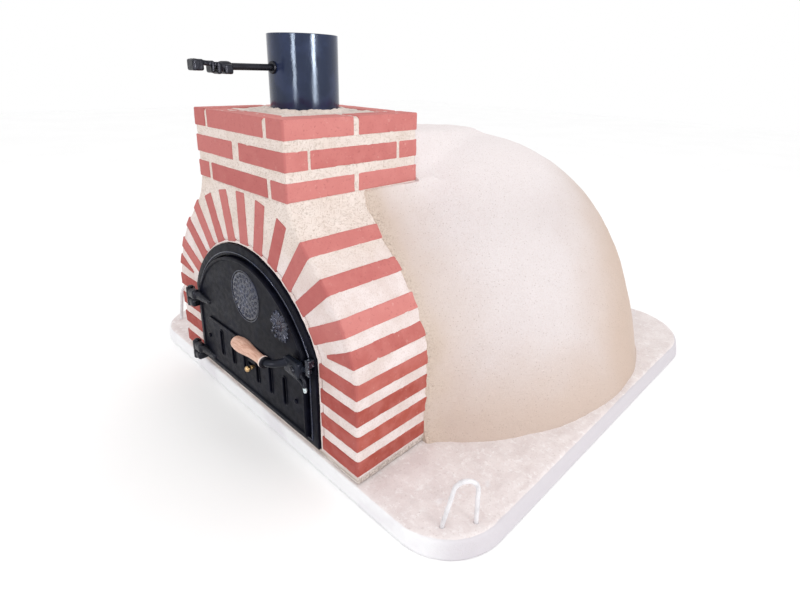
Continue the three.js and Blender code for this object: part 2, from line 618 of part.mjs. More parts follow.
function buildVent() {
  const stemHole = cylinderAlongY(KNOB.x, KNOB.z, KNOB.stem - 0.7, -FAR, 0, 12);
  const plate = box(VENT.left, VENT.right, VENT.frontY, VENT.backY, VENT.low, VENT.high);
  add('vent_slider', cut(plate, ...slotRow(VENT.travel, -FAR, 0), stemHole), castIron);

  const { stem, radius } = KNOB;
  const tail = stem - 1;
  const length = VENT.backY - KNOB.frontY;
  const seat = VENT.backY - VENT.frontY + GAP;
  const ball = length - radius;
  const profile = [[0, 0], [tail, 0], [tail, seat], [stem, seat], [stem, ball - 5], [6.2, ball - 4],
    [radius, ball], [6.2, ball + 5], [0, length]];
  add('vent_knob', turnedForward(KNOB.x, KNOB.z, VENT.backY, profile), brass);

  const { shank, head, length: screwLength } = SCREW;
  const seatAt = screwLength - 3.5;
  const screw = [[0, 0], [shank, 0], [shank, seatAt], [head, seatAt], [head - 1, screwLength - 1],
    [0, screwLength]];
  for (const [side, sign] of [['left', -1], ['right', 1]]) {
    add(`vent_screw_${side}`, turnedForward(sign * SCREW.x, SCREW.z, LEAF.backY, screw, 12), castIron);
  }
}

// ---------- latch ----------
// curved tail under the hub, drawn in X and Z
function tailShape() {
  const shape = new THREE.Shape();
  shape.moveTo(HUB.left, HUB.low + 3);
  shape.quadraticCurveTo(160, 216, 158, 204);
  shape.quadraticCurveTo(190, 210, 212, 209);
  shape.quadraticCurveTo(228, 206, 230, 188);
  shape.lineTo(240, 188);
  shape.quadraticCurveTo(240, 212, 224, HUB.low + 3);
  shape.closePath();
  return shape;
}

// cranked neck from the hub forward to the grip, drawn in X and Y
function neckShape() {
  const end = GRIP.to + 3;
  const shape = new THREE.Shape();
  shape.moveTo(HUB.left + 12, HUB.backY);
  shape.lineTo(HUB.left + 1, HUB.backY);
  shape.quadraticCurveTo(HUB.left - 4, GRIP.y + 19, end, GRIP.y + 7);
  shape.lineTo(end, GRIP.y - 7);
  shape.quadraticCurveTo(HUB.left + 2, GRIP.y - 5, HUB.left + 14, HUB.frontY);
  shape.closePath();
  return shape;
}

// [radius, distance] profile turned about the X axis, distance running left from xRight
function turnedLeft(xRight, profile, steps = 18) {
  return turned(profile, steps).rotate([0, -90, 0]).translate([xRight, GRIP.y, GRIP.z]);
}

function buildLatch() {
  const hub = box(HUB.left, HUB.right, HUB.frontY, HUB.backY, HUB.low, HUB.high);
  const tail = pushed(tailShape(), HUB.backY - 8, HUB.backY - 0.5, 5);
  const neck = raised(neckShape(), GRIP.z - 7, GRIP.z + 8, 5);
  const tang = turnedLeft(GRIP.to + 4, [[0, 0], [GRIP.tang, 0], [GRIP.tang, GRIP.sunk], [0, GRIP.sunk]], 12);
  const { right, low, high, frontY, backY } = TONGUE;
  const tongue = box(HUB.right - 2, right, frontY, backY, low, high);
  const tongueRoot = box(HUB.right - 8, HUB.right + 2, HUB.backY - 6, frontY + 0.5, low, high);
  const clear = box(0, HUB.right - 4, HUB.backY, 0, 0, FAR);
  const bore = cylinderAlongY(PIVOT.x, PIVOT.z, PIVOT.bore, -FAR, 0);
  add('latch_lever', cut(joined(hub, tail, neck, tang, tongue, tongueRoot), clear, bore), castIron);

  const { radius, head } = PIVOT;
  const shank = LEAF.backY - HUB.frontY;
  const seat = shank + GAP;
  const screw = [[0, 0], [radius, 0], [radius, seat], [head, seat], [head - 1, shank + 4], [0, shank + 5]];
  add('latch_pivot_screw', turnedForward(PIVOT.x, PIVOT.z, LEAF.backY, screw), castIron);
}

function buildGrip() {
  const { to, from, bulb, waist, flare, tang, sunk } = GRIP;
  const length = to - from;
  const bore = tang + 0.4;
  const outside = [[flare, 0], [flare, 0.04], [waist, 0.15], [10.5, 0.4], [13.5, 0.63], [bulb, 0.82],
    [13.5, 0.93], [8, 0.985]];
  const skin = outside.map(([radius, along]) => [radius, along * length]);
  const profile = [[bore, 0], ...skin, [0, length], [0, sunk], [bore, sunk - 1], [bore, 0]];
  add('door_grip', turnedLeft(to, profile), wood);
  const collar = [[bore, 0], [12, 0], [12, 2.4], [bore, 2.4], [bore, 0]];
  add('grip_collar', turnedLeft(to + 2.7, collar), castIron);
}

buildSlab();
buildHearth();
const pockets = layBricks();
buildDome(pockets);
buildMasonry(pockets);
buildFlue();
buildDamper();
buildDamperHandle();
buildFrame();
buildKeeper();
buildLeaf();
buildVent();
buildLatch();
buildGrip();

export default group;
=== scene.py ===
"""Wood fired pizza oven, visual model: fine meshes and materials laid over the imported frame.

Metres, +Z up, the door faces -Y. A shape is a pair (points, faces) until piece() turns it into an object.
"""

import math

import bmesh
import bpy
import numpy as np
from mathutils import Matrix, Vector, noise


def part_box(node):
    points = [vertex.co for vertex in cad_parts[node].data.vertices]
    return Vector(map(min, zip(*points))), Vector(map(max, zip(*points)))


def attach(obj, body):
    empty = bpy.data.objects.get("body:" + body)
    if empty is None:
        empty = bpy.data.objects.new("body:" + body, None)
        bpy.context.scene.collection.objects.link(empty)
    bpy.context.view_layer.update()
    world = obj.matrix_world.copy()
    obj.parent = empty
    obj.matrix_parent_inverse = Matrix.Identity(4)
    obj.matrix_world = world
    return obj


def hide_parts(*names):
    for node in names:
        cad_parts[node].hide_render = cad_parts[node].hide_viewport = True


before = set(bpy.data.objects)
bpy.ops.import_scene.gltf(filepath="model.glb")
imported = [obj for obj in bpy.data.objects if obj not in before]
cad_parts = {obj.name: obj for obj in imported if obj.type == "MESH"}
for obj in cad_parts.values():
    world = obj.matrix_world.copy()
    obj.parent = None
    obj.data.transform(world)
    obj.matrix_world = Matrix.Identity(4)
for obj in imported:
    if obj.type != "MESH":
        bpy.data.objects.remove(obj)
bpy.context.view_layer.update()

# ---------- dimensions from the frame ----------
SLAB_LOW, SLAB_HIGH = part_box("base_slab")
BLOCK_LOW, BLOCK_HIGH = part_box("arch_masonry")
CORE_LOW, CORE_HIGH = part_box("chimney_core")
FLUE_LOW, FLUE_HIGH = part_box("flue_pipe")
ROD_LOW, ROD_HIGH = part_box("damper_rod")
GRIP_LOW, GRIP_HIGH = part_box("door_grip")
FACE_Y = BLOCK_LOW.y
BACK_Y = BLOCK_HIGH.y
BED_Z = BLOCK_LOW.z
BODY_HALF = BLOCK_HIGH.x
CHIMNEY_HALF = CORE_HIGH.x
CHIMNEY_Y = (CORE_LOW.y + CORE_HIGH.y) / 2
CHIMNEY_BASE = CORE_LOW.z
FLUE_RADIUS = FLUE_HIGH.x
DAMPER_Z = (ROD_LOW.z + ROD_HIGH.z) / 2
FRAME_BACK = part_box("door_frame")[1].y

# ---------- dimensions that a box cannot give ----------
DOME = {"y": 0.030, "radius": 0.588, "height": 0.876, "base": -0.263, "power": 2.47}
REAR = {"ratio": 0.87, "power": 2.3}   # the dome's back half is shallower and squarer in plan
INSULATION_INSET = 0.030               # how far the hidden shells start inside the dome
REFRACTORY_INSET = 0.110
CHAMBER_INSET = 0.170
ARC_Z, ARC_RADIUS = 0.160, 0.374       # outside of the brick arch
SHOULDER = 0.070                       # softness of the shoulder between arch and chimney
SKIN = 0.003                           # render over the arch
PLASTER_Y = FACE_Y + 0.174             # front edge of the render on the arch
MORTAR_BACK = 0.0004                   # mortar behind the plane of the brickwork
RIDGE = {"front_half": 0.158, "back_half": 0.050, "back_y": 0.090, "front_z": 0.650, "back_z": 0.619}
FAR = 1.0                              # beyond the whole object, for cutting right through

# bricks
BRICK_DEEP, CROWN_DEEP = 0.220, 0.092
PROUD = 0.0012                         # how far bricks stand out from the mortar
# count is the arch bricks on each side of the middle one, of which crown are cut short under the chimney
VOUSSOIR = {"count": 5, "crown": 2, "thick": 0.034, "pitch": 12.3, "z": 0.174, "inner": 0.2785}
STRAIGHT = {"count": 4, "thick": 0.032, "first": 0.059, "pitch": 0.0545, "wide": 0.109}
# degrees from straight up and distance of the tapered brick's tip and its two outer corners
CLOSER = {"tip": (69.6, 0.296), "high": (67.8, 0.369), "low": (73.1, 0.369)}

# chimney
THROAT = {"x": 0.110, "y": 0.066, "base": 0.330, "radius": 0.062}
SLIP = 0.050                           # width of a brick lying along the side of the chimney
# where bricks end and start in each course: along the front from its middle, along the side from the front
COURSES = {
    "bottom": {"front": [-0.126, -0.114, 0.109, 0.121], "side": [0.156, 0.166], "corner": "side"},
    "middle": {"front": [-0.016, 0.010], "side": [0.049, 0.054, 0.270, 0.277], "corner": "front"},
    "top": {"front": [-0.125, -0.115, 0.105, 0.118], "side": [0.156, 0.168], "corner": "side"},
}

# slab and lifting loops
SLAB = {"front_corner": 0.125, "rear_corner": 0.175, "top_scale": 0.987}
LOOP = {"rod": 0.0042, "bend": 0.0215}
# the upright leg's foot, then the leaning leg's
LOOP_FEET = {"front": ((0.564, -0.503), (0.528, -0.551)), "rear": ((0.362, 0.518), (0.302, 0.518))}

# door opening and frame
DOOR = {"half": 0.249, "radius": 0.2755, "arc": 0.1416, "base": 0.059}
OPENING_SLACK = 0.0062                 # masonry opening beyond the frame
# inset is how far in from the door's outline, and sill is how far up from its foot
TUNNEL = {"inset": 0.046, "sill": 0.033}
MOUTH = {"half": 0.19, "radius": 0.215, "arc": 0.1, "back": -0.12}
RIM = {"inset": 0.0255, "sill": 0.0155, "front": -0.603}
REBATE = {"inset": 0.044, "sill": 0.033, "front": -0.5915}
FRAME_LIP = {"inset": 0.0185, "sill": 0.0125, "y": -0.6033, "radius": 0.0014}   # raised line on its face
HINGE = {"x": -0.250, "y": -0.619, "radius": 0.0105}
# foot, split and top of each lug: the frame's knuckle is below the split and the leaf's above it
LUGS = {"upper": (0.207, 0.229, 0.254), "lower": (0.060, 0.082, 0.107)}
LUG_END = {"frame": -0.226, "leaf": -0.216}
STRAP = {"start": -0.230, "end": -0.168, "y": -0.6165}   # tapers from the lug along the leaf

# door leaf, latch and vent
LEAF = {"inset": 0.028, "sill": 0.018, "front": -0.609, "back": -0.592, "bead": 0.008, "proud": 0.003}
ROSETTE = {"x": 0.010, "z": 0.312, "radius": 0.053}
# petals in a ring, then how far out they start, how long and how wide, as parts of the radius
ROSETTE_RINGS = ((6, 0.12, 0.30, 0.085), (10, 0.34, 0.30, 0.090), (15, 0.56, 0.28, 0.090),
                 (20, 0.78, 0.24, 0.075))
SPRAY = {"x": 0.142, "z": 0.291, "radius": 0.038}
SLOT = {"first": -0.123, "pitch": 0.054, "count": 6, "width": 0.009, "low": 0.117, "high": 0.179}
LEDGE = {"left": -0.174, "right": 0.097, "low": 0.193, "high": 0.200, "proud": 0.0038}
STEM_SLOT = ((-0.0025, 0.0265), (0.1435, 0.1525))   # where the vent knob's stem slides, in X and in Z
RAIL_HALF, RAIL_BACK = 0.198, -0.585
RAILS = ((0.1884, 0.194, 0.184, 0.189), (0.102, 0.1076, 0.107, 0.112))   # Z of each rail, then of its lip
PIVOT = {"x": 0.212, "z": 0.234}
LEVER_BACK = -0.6125                   # the lever clears the leaf by this plane, all but its tongue

# damper
# where each bar of the handle starts and ends behind its tip, and its foot and head about the rod
HANDLE_RIBS = ((0.0, 0.0200, -0.0085, 0.0115), (0.0345, 0.0400, -0.0120, 0.0095),
               (0.0440, 0.0530, -0.0138, 0.0075), (0.0590, 0.0755, -0.0138, 0.0035))


# ---------- shapes ----------
def grid_faces(rows, columns, wrap_rows=False, wrap_columns=False):
    """Quads over a grid of rows by columns points."""
    r = np.arange(rows if wrap_rows else rows - 1)[:, None]
    c = np.arange(columns if wrap_columns else columns - 1)[None, :]
    r_next, c_next = (r + 1) % rows, (c + 1) % columns
    corners = [r * columns + c, r * columns + c_next, r_next * columns + c_next, r_next * columns + c]
    return np.stack(corners, -1).reshape(-1, 4).tolist()


def merged(*shapes):
    points, faces, offset = [], [], 0
    for shape_points, shape_faces in shapes:
        points.append(np.asarray(shape_points, float))
        faces += [[i + offset for i in face] for face in shape_faces]
        offset += len(shape_points)
    return np.concatenate(points), faces


def moved(shape, x=0.0, y=0.0, z=0.0):
    return shape[0] + np.array([x, y, z]), shape[1]


def turned(shape, degrees, axis):
    matrix = np.array(Matrix.Rotation(math.radians(degrees), 3, axis))
    return shape[0] @ matrix.T, shape[1]


def stacked(rings):
    """A closed skin over rings of equally many points, with both ends drawn to a point."""
    rings = [np.asarray(ring, float) for ring in rings]
    count = len(rings[0])
    points = np.concatenate(rings + [rings[0].mean(0)[None], rings[-1].mean(0)[None]])
    faces = grid_faces(len(rings), count, wrap_columns=True)
    first, last = len(points) - 2, len(points) - 1
    base = (len(rings) - 1) * count
    for i in range(count):
        j = (i + 1) % count
        faces.append([first, j, i])
        faces.append([last, base + i, base + j])
    return points, faces


def lathe(profile, steps=64):
    """[radius, height] pairs turned about Z, from axis to axis."""
    angles = np.linspace(0, 2 * math.pi, steps, endpoint=False)
    rings = [np.stack([r * np.cos(angles), r * np.sin(angles), np.full(steps, h)], -1)
             for r, h in profile if r > 1e-6]
    return stacked(rings)


def ring_lathe(profile, steps=96):
    """A closed [radius, height] profile turned about Z, clear of the axis."""
    angles = np.linspace(0, 2 * math.pi, steps, endpoint=False)
    points = np.concatenate([np.stack([r * np.cos(angles), r * np.sin(angles), np.full(steps, h)], -1)
                             for r, h in profile])
    return points, grid_faces(len(profile), steps, wrap_rows=True, wrap_columns=True)


def softened(points, radius, steps=3, closed=True):
    """A polyline with its corners rounded, in any number of dimensions."""
    points = [np.asarray(p, float) for p in points]
    result = []
    count = len(points)
    for i, corner in enumerate(points):
        if not closed and i in (0, count - 1):
            result.append(corner)
            continue
        before, after = points[i - 1] - corner, points[(i + 1) % count] - corner
        start = corner + before * min(0.45, radius / max(np.linalg.norm(before), 1e-9))
        end = corner + after * min(0.45, radius / max(np.linalg.norm(after), 1e-9))
        for t in np.linspace(0, 1, steps + 1):
            result.append((1 - t) ** 2 * start + 2 * t * (1 - t) * corner + t * t * end)
    return result


def capped(start, end):
    """A closed solid between two rings of equally many points, with flat ends."""
    count = len(start)
    faces = [[i, (i + 1) % count, count + (i + 1) % count, count + i] for i in range(count)]
    return np.concatenate([start, end]), faces + [list(range(count))[::-1], list(range(count, 2 * count))]


def prism(outline, y_front, y_back):
    """A plain solid of an outline in X and Z, used to cut with."""
    outline = np.asarray(outline, float)
    front = np.stack([outline[:, 0], np.full(len(outline), y_front), outline[:, 1]], -1)
    return capped(front, front + np.array([0, y_back - y_front, 0]))


def plain_box(low, high):
    (x0, y0, z0), (x1, y1, z1) = low, high
    return prism([(x0, z0), (x1, z0), (x1, z1), (x0, z1)], y0, y1)


def cylinder_y(x, z, radius, y_front, y_back, steps=48):
    angles = np.linspace(0, 2 * math.pi, steps, endpoint=False)
    return prism(np.stack([x + radius * np.cos(angles), z + radius * np.sin(angles)], -1), y_front, y_back)


def cylinder(x, y, radius, z_low, z_high, steps=64):
    angles = np.linspace(0, 2 * math.pi, steps, endpoint=False)
    ring = np.stack([x + radius * np.cos(angles), y + radius * np.sin(angles)], -1)
    low, high = (np.column_stack([ring, np.full(steps, z)]) for z in (z_low, z_high))
    return capped(low, high)


def axis_lines(half, radius, cell):
    """Grid lines from -half to half, close together where the edge is rounded."""
    edge = radius * np.array([0, 0.12, 0.4, 1.0])
    inner = np.linspace(-half + radius, half - radius, max(2, round(2 * (half - radius) / cell) + 1))
    return np.concatenate([-half + edge[:-1], inner, (half - edge[:-1])[::-1]])


def rounded_block(size, radius, cell):
    """Box of that size about the origin with rounded edges, as points, outward directions and faces."""
    half = np.array(size) / 2
    lines = [axis_lines(h, radius, cell) for h in half]
    counts = [len(line) for line in lines]
    index, points, faces = {}, [], []

    def corner(key):
        if key not in index:
            index[key] = len(points)
            points.append([lines[a][key[a]] for a in range(3)])
        return index[key]

    for axis in range(3):
        a, b = (axis + 1) % 3, (axis + 2) % 3
        for end in (0, counts[axis] - 1):
            for i in range(counts[a] - 1):
                for j in range(counts[b] - 1):
                    face = []
                    for di, dj in ((0, 0), (1, 0), (1, 1), (0, 1)):
                        key = [0, 0, 0]
                        key[axis], key[a], key[b] = end, i + di, j + dj
                        face.append(corner(tuple(key)))
                    faces.append(face if end else face[::-1])
    points = np.array(points)
    inner = np.clip(points, -(half - radius), half - radius)
    out = points - inner
    out /= np.linalg.norm(out, axis=1)[:, None]
    return inner + out * radius, out, faces


def block(low, high, radius, cell=1.0):
    """Rounded box between two corners."""
    low, high = np.array(low, float), np.array(high, float)
    points, _, faces = rounded_block(high - low, radius, cell)
    return points + (low + high) / 2, faces


def tube(path, radius, sides=20):
    """A round rod along a path, with domed ends. radius is one number or one for each point."""
    path = np.asarray(path, float)
    radii = np.broadcast_to(np.asarray(radius, float), len(path))
    tangents = np.gradient(path, axis=0)
    tangents /= np.linalg.norm(tangents, axis=1)[:, None]
    side = np.cross(tangents[0], [0.3, 0.5, 0.81])
    angles = np.linspace(0, 2 * math.pi, sides, endpoint=False)[:, None]
    rings = []
    for i, tangent in enumerate(tangents):
        side = side - tangent * side.dot(tangent)
        side /= np.linalg.norm(side)
        across = np.cross(tangent, side)
        round_way = np.cos(angles) * side + np.sin(angles) * across
        if i == 0:
            rings += [path[0] - tangent * radii[0] * math.sin(t) + round_way * radii[0] * math.cos(t)
                      for t in (1.3, 0.9, 0.45)]
        rings.append(path[i] + round_way * radii[i])
        if i == len(path) - 1:
            rings += [path[i] + tangent * radii[i] * math.sin(t) + round_way * radii[i] * math.cos(t)
                      for t in (0.45, 0.9, 1.3)]
    return stacked(rings)


def arc_points(center, radius, start_deg, end_deg, steps):
    angles = np.radians(np.linspace(start_deg, end_deg, steps))
    return [(center[0] + radius * math.cos(t), center[1] + radius * math.sin(t)) for t in angles]


def bezier(*controls, steps=16):
    """Points on a Bezier curve of any degree."""
    controls = [np.asarray(p, float) for p in controls]
    points = []
    for t in np.linspace(0, 1, steps):
        level = controls
        while len(level) > 1:
            level = [a + (b - a) * t for a, b in zip(level, level[1:])]
        points.append(level[0])
    return points


# ---------- objects ----------
def piece(name, shape, smooth_deg=35):
    mesh = bpy.data.meshes.new(name)
    mesh.from_pydata([tuple(p) for p in shape[0]], [], shape[1])
    face_outwards(mesh)
    obj = bpy.data.objects.new(name, mesh)
    bpy.context.scene.collection.objects.link(obj)
    set_smooth(obj, smooth_deg)
    return obj


def face_outwards(mesh):
    work = bmesh.new()
    work.from_mesh(mesh)
    bmesh.ops.recalc_face_normals(work, faces=work.faces)
    work.to_mesh(mesh)
    work.free()


def set_smooth(obj, degrees):
    obj.data.polygons.foreach_set("use_smooth", [True] * len(obj.data.polygons))
    obj.data.set_sharp_from_angle(angle=math.radians(degrees))


def settle(obj, smooth_deg=35):
    """Applies every modifier."""
    evaluated = obj.evaluated_get(bpy.context.evaluated_depsgraph_get())
    old = obj.data
    obj.data = bpy.data.meshes.new_from_object(evaluated)
    obj.data.name = obj.name
    obj.modifiers.clear()
    bpy.data.meshes.remove(old)
    set_smooth(obj, smooth_deg)
    return obj


def carve(obj, *cutters):
    """Cuts obj by plain shapes."""
    tools = []
    for i, shape in enumerate(cutters):
        tool = piece(f"{obj.name}_tool{i}", shape)
        modifier = obj.modifiers.new("carve", "BOOLEAN")
        modifier.operation = "DIFFERENCE"
        modifier.solver = "MANIFOLD"
        modifier.object = tool
        tools.append(tool)
    settle(obj)
    for tool in tools:
        mesh = tool.data
        bpy.data.objects.remove(tool)
        bpy.data.meshes.remove(mesh)
    return obj


def melt(obj, voxel, relax=4):
    """Runs overlapping shapes together into one skin, as in a casting or a bed of mortar."""
    remesh = obj.modifiers.new("melt", "REMESH")
    remesh.mode = "VOXEL"
    remesh.voxel_size = voxel
    if relax:
        smooth = obj.modifiers.new("relax", "SMOOTH")
        smooth.factor = 0.5
        smooth.iterations = relax
    return settle(obj, 60)


def fractal(points, size, octaves=3, seed=0.0):
    """Noise of about -1 to 1 at each point; size is the width of its largest lumps."""
    shift = Vector((seed, seed * 1.7, -seed))
    return np.array([noise.fractal(Vector(p) / size + shift, 1.0, 2.0, octaves) for p in points])


def read_points(obj):
    flat = np.empty(len(obj.data.vertices) * 3)
    obj.data.vertices.foreach_get("co", flat)
    return flat.reshape(-1, 3)


def read_normals(obj):
    flat = np.empty(len(obj.data.vertices) * 3)
    obj.data.vertex_normals.foreach_get("vector", flat)
    return flat.reshape(-1, 3)


def write_points(obj, points):
    obj.data.vertices.foreach_set("co", points.ravel())
    obj.data.update()


def roughen(obj, *layers):
    """Moves the points along their normals by layers of (size, height, seed) noise."""
    points, normals = read_points(obj), read_normals(obj)
    lift = sum(height * fractal(points, size, 2, seed) for size, height, seed in layers)
    write_points(obj, points + normals * lift[:, None])


def dress(obj, body, material, slot, *nodes):
    """Gives a piece its material and its place in the frame."""
    obj.data.materials.clear()
    obj.data.materials.append(material)
    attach(obj, body)
    if nodes:
        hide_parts(*nodes)
    return obj


def assign(node, material):
    """Gives a CAD node that stays visible its material."""
    node.data.materials.clear()
    node.data.materials.append(material)


def middle(node):
    """The middle of a CAD node's box."""
    low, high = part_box(node)
    return (low + high) / 2


def lathe_along(axis, profile, place, steps):
    """A lathed solid that starts at a place and runs towards +X or -Y."""
    return moved(turned(lathe(profile, steps), 90, {"X": "Y", "-Y": "X"}[axis]), *place)


# ---------- materials ----------
def rgb(code):
    """Linear colour of a six digit sRGB code."""
    values = [int(code[i:i + 2], 16) / 255 for i in (0, 2, 4)]
    return [v / 12.92 if v <= 0.04045 else ((v + 0.055) / 1.055) ** 2.4 for v in values] + [1.0]


class Surface:
    """A principled material and short ways to wire its nodes."""

    def __init__(self, name, roughness, metallic=0.0, **sockets):
        self.material = bpy.data.materials.new(name)
        self.material.use_nodes = True
        self.nodes = self.material.node_tree.nodes
        self.links = self.material.node_tree.links
        self.shader = self.nodes["Principled BSDF"]
        self.shader.inputs["Roughness"].default_value = roughness
        self.shader.inputs["Metallic"].default_value = metallic
        for socket, value in sockets.items():
            self.shader.inputs[socket.replace("_", " ")].default_value = value
        self.place = self.nodes.new("ShaderNodeTexCoord").outputs["Object"]

    def put(self, value, socket):
        if isinstance(value, bpy.types.NodeSocket):
            self.links.new(value, socket)
        else:
            socket.default_value = value

    def stretched(self, scale, shift=(0, 0, 0)):
        node = self.nodes.new("ShaderNodeMapping")
        self.put(self.place, node.inputs["Vector"])
        node.inputs["Scale"].default_value = scale
        node.inputs["Location"].default_value = shift
        return node.outputs["Vector"]

    def noise(self, size, detail=4, rough=0.55, place=None, distortion=0.0):
        node = self.nodes.new("ShaderNodeTexNoise")
        self.put(place or self.place, node.inputs["Vector"])
        node.inputs["Scale"].default_value = 1 / size
        node.inputs["Detail"].default_value = detail
        node.inputs["Roughness"].default_value = rough
        node.inputs["Distortion"].default_value = distortion
        return node.outputs["Fac"]

    def cells(self, size, place=None):
        node = self.nodes.new("ShaderNodeTexVoronoi")
        self.put(place or self.place, node.inputs["Vector"])
        node.inputs["Scale"].default_value = 1 / size
        return node.outputs["Distance"], node.outputs["Color"]

    def attribute(self, name):
        node = self.nodes.new("ShaderNodeAttribute")
        node.attribute_name = name
        return node.outputs["Fac"]

    def axis(self, letter):
        node = self.nodes.new("ShaderNodeSeparateXYZ")
        self.put(self.place, node.inputs[0])
        return node.outputs[letter]

    def band(self, value, low, high, to_low=0.0, to_high=1.0):
        """value from low to high, mapped smoothly to to_low to to_high."""
        node = self.nodes.new("ShaderNodeMapRange")
        node.interpolation_type = "SMOOTHSTEP"
        for socket, number in zip(("From Min", "From Max", "To Min", "To Max"), (low, high, to_low, to_high)):
            node.inputs[socket].default_value = number
        self.put(value, node.inputs["Value"])
        return node.outputs["Result"]

    def math(self, operation, a, b=0.0):
        node = self.nodes.new("ShaderNodeMath")
        node.operation = operation
        self.put(a, node.inputs[0])
        self.put(b, node.inputs[1])
        return node.outputs["Value"]

    def blend(self, factor, a, b, how="MIX"):
        node = self.nodes.new("ShaderNodeMix")
        node.data_type = "RGBA"
        node.blend_type = how
        self.put(factor, node.inputs["Factor"])
        self.put(a, node.inputs["A"])
        self.put(b, node.inputs["B"])
        return node.outputs["Result"]

    def bump(self, height, depth, under=None):
        """Bump of that depth in metres, over an earlier one."""
        node = self.nodes.new("ShaderNodeBump")
        node.inputs["Distance"].default_value = depth
        self.put(height, node.inputs["Height"])
        if under is not None:
            self.put(under, node.inputs["Normal"])
        return node.outputs["Normal"]

    def done(self, color, normal=None, roughness=None):
        self.put(color, self.shader.inputs["Base Color"])
        if normal is not None:
            self.put(normal, self.shader.inputs["Normal"])
        if roughness is not None:
            self.put(roughness, self.shader.inputs["Roughness"])
        return self.material


def make_render():
    """Pale sanded plaster, with painted shade, darker and tan, near the foot, along the brickwork and round
    the back, and a painted highlight, lighter, towards the top.
    """
    s = Surface("sandy_render", 0.92, Specular_IOR_Level=0.25)
    cloud = s.band(s.noise(0.35, 3), 0.35, 0.68)
    base = s.blend(cloud, rgb("dad2d2"), rgb("d3c9c8"))
    # Painted highlight: the render made lighter towards the top of the dome, where the light falls from
    # above.
    painted_top_light = s.band(s.axis("Z"), 0.46, 0.60, 0.0, 0.9)
    base = s.blend(painted_top_light, base, rgb("e9e1e1"))
    wander = s.math("MULTIPLY", s.noise(0.14, 3), 0.12)
    depth = s.math("ADD", s.axis("Y"), wander)
    # Painted shade: the render darkened towards tan near the foot, along the brickwork and round the back,
    # where it is lit less.
    foot = s.band(s.math("ADD", s.axis("Z"), wander), 0.10, 0.34, 1.0, 0.0)
    brickwork_shade = s.band(depth, PLASTER_Y + 0.05, PLASTER_Y + 0.26, 0.9, 0.0)
    flank = s.math("ADD", s.math("ABSOLUTE", s.axis("X")), s.math("MULTIPLY", depth, 0.93))
    back = s.math("MULTIPLY", s.band(flank, 0.40, 0.72, 0.0, 1.15), s.band(flank, 0.72, 1.0, 1.0, 0.45))
    painted_shade = s.math("MAXIMUM", s.math("MAXIMUM", foot, brickwork_shade), back)
    base = s.blend(s.math("MULTIPLY", painted_shade, 0.75), base, rgb("c4ae9e"))
    grain = s.noise(0.0030, 3, 0.7)
    base = s.blend(s.band(grain, 0.50, 0.68, 0.0, 0.28), base, rgb("bba59a"))
    dots, _ = s.cells(0.0075)
    base = s.blend(s.band(dots, 0.08, 0.20, 0.40, 0.0), base, rgb("8f7a6e"))
    sandy = s.band(depth, PLASTER_Y + 0.05, PLASTER_Y + 0.13, 1.0, 0.0)
    sand = s.band(s.noise(0.0028, 2, 0.7), 0.50, 0.68)
    base = s.blend(s.math("MULTIPLY", sandy, 0.45), base, rgb("d8c6b4"))
    base = s.blend(s.math("MULTIPLY", s.math("MULTIPLY", sandy, sand), 0.35), base, rgb("a98f7a"))
    rough = s.bump(s.noise(0.012, 4, 0.6), 0.0010)
    rough = s.bump(s.math("MULTIPLY", sandy, sand), 0.0008, rough)
    return s.done(base, s.bump(grain, 0.0011, rough))


def make_mortar():
    """Pale pointing, sandier over the shoulders and grey under the door."""
    s = Surface("mortar", 0.95, Specular_IOR_Level=0.2)
    cloud = s.band(s.noise(0.06, 3), 0.35, 0.68)
    base = s.blend(cloud, rgb("e6dad8"), rgb("d9c9c4"))
    grain = s.noise(0.0028, 3, 0.7)
    base = s.blend(s.band(grain, 0.48, 0.68, 0.0, 0.40), base, rgb("b9a196"))
    wander = s.math("MULTIPLY", s.noise(0.05, 3), 0.05)
    high = s.band(s.math("ADD", s.axis("Z"), wander), 0.42, 0.50)
    sand = s.band(s.noise(0.0028, 2, 0.7), 0.52, 0.70)
    sandy = s.math("MULTIPLY", high, sand)
    base = s.blend(s.math("MULTIPLY", high, 0.5), base, rgb("e9dccf"))
    base = s.blend(s.math("MULTIPLY", sandy, 0.30), base, rgb("bda68f"))
    low = s.band(s.axis("Z"), 0.052, 0.060, 1.0, 0.0)
    streak = s.band(s.noise(0.004, 3, 0.6, s.stretched((0.06, 1, 1))), 0.4, 0.6)
    base = s.blend(s.math("MULTIPLY", low, 0.9), base, s.blend(streak, rgb("cfc5bd"), rgb("a3968d")))
    rough = s.bump(s.noise(0.010, 4, 0.6), 0.0012)
    rough = s.bump(sandy, 0.0005, rough)
    return s.done(base, s.bump(grain, 0.0010, rough))


def make_brick():
    """Worn clay, redder and darker in the low courses; every brick has its own tone."""
    s = Surface("brick", 0.86, Specular_IOR_Level=0.3)
    tone = s.attribute("tone")
    rosy = s.blend(tone, rgb("b45f5b"), rgb("d0847f"))
    ruddy = s.blend(tone, rgb("9a4034"), rgb("b4594b"))
    high = s.band(s.axis("Z"), 0.16, 0.40)
    base = s.blend(high, ruddy, rosy)
    mottle = s.band(s.noise(0.030, 3, 0.5), 0.35, 0.7)
    base = s.blend(s.math("MULTIPLY", mottle, 0.22), base, rgb("d98f88"))
    dark = s.band(s.noise(0.006, 3, 0.65), 0.56, 0.75, 0.0, 0.35)
    base = s.blend(dark, base, rgb("8c3a36"))
    dust = s.band(s.noise(0.010, 4, 0.75), 0.60, 0.74, 0.0, 0.35)
    base = s.blend(dust, base, rgb("e2bdb5"))
    smoke = s.band(s.axis("Y"), FACE_Y + 0.001, FACE_Y + 0.004, 0.35, 0.0)
    base = s.blend(smoke, base, rgb("994647"))
    pits, _ = s.cells(0.012)
    pit_depth = s.band(pits, 0.06, 0.2)
    rough = s.bump(s.noise(0.0025, 3, 0.7), 0.0006)
    rough = s.bump(pit_depth, 0.0009, rough)
    return s.done(base, s.bump(s.noise(0.014, 3), 0.0008, rough))


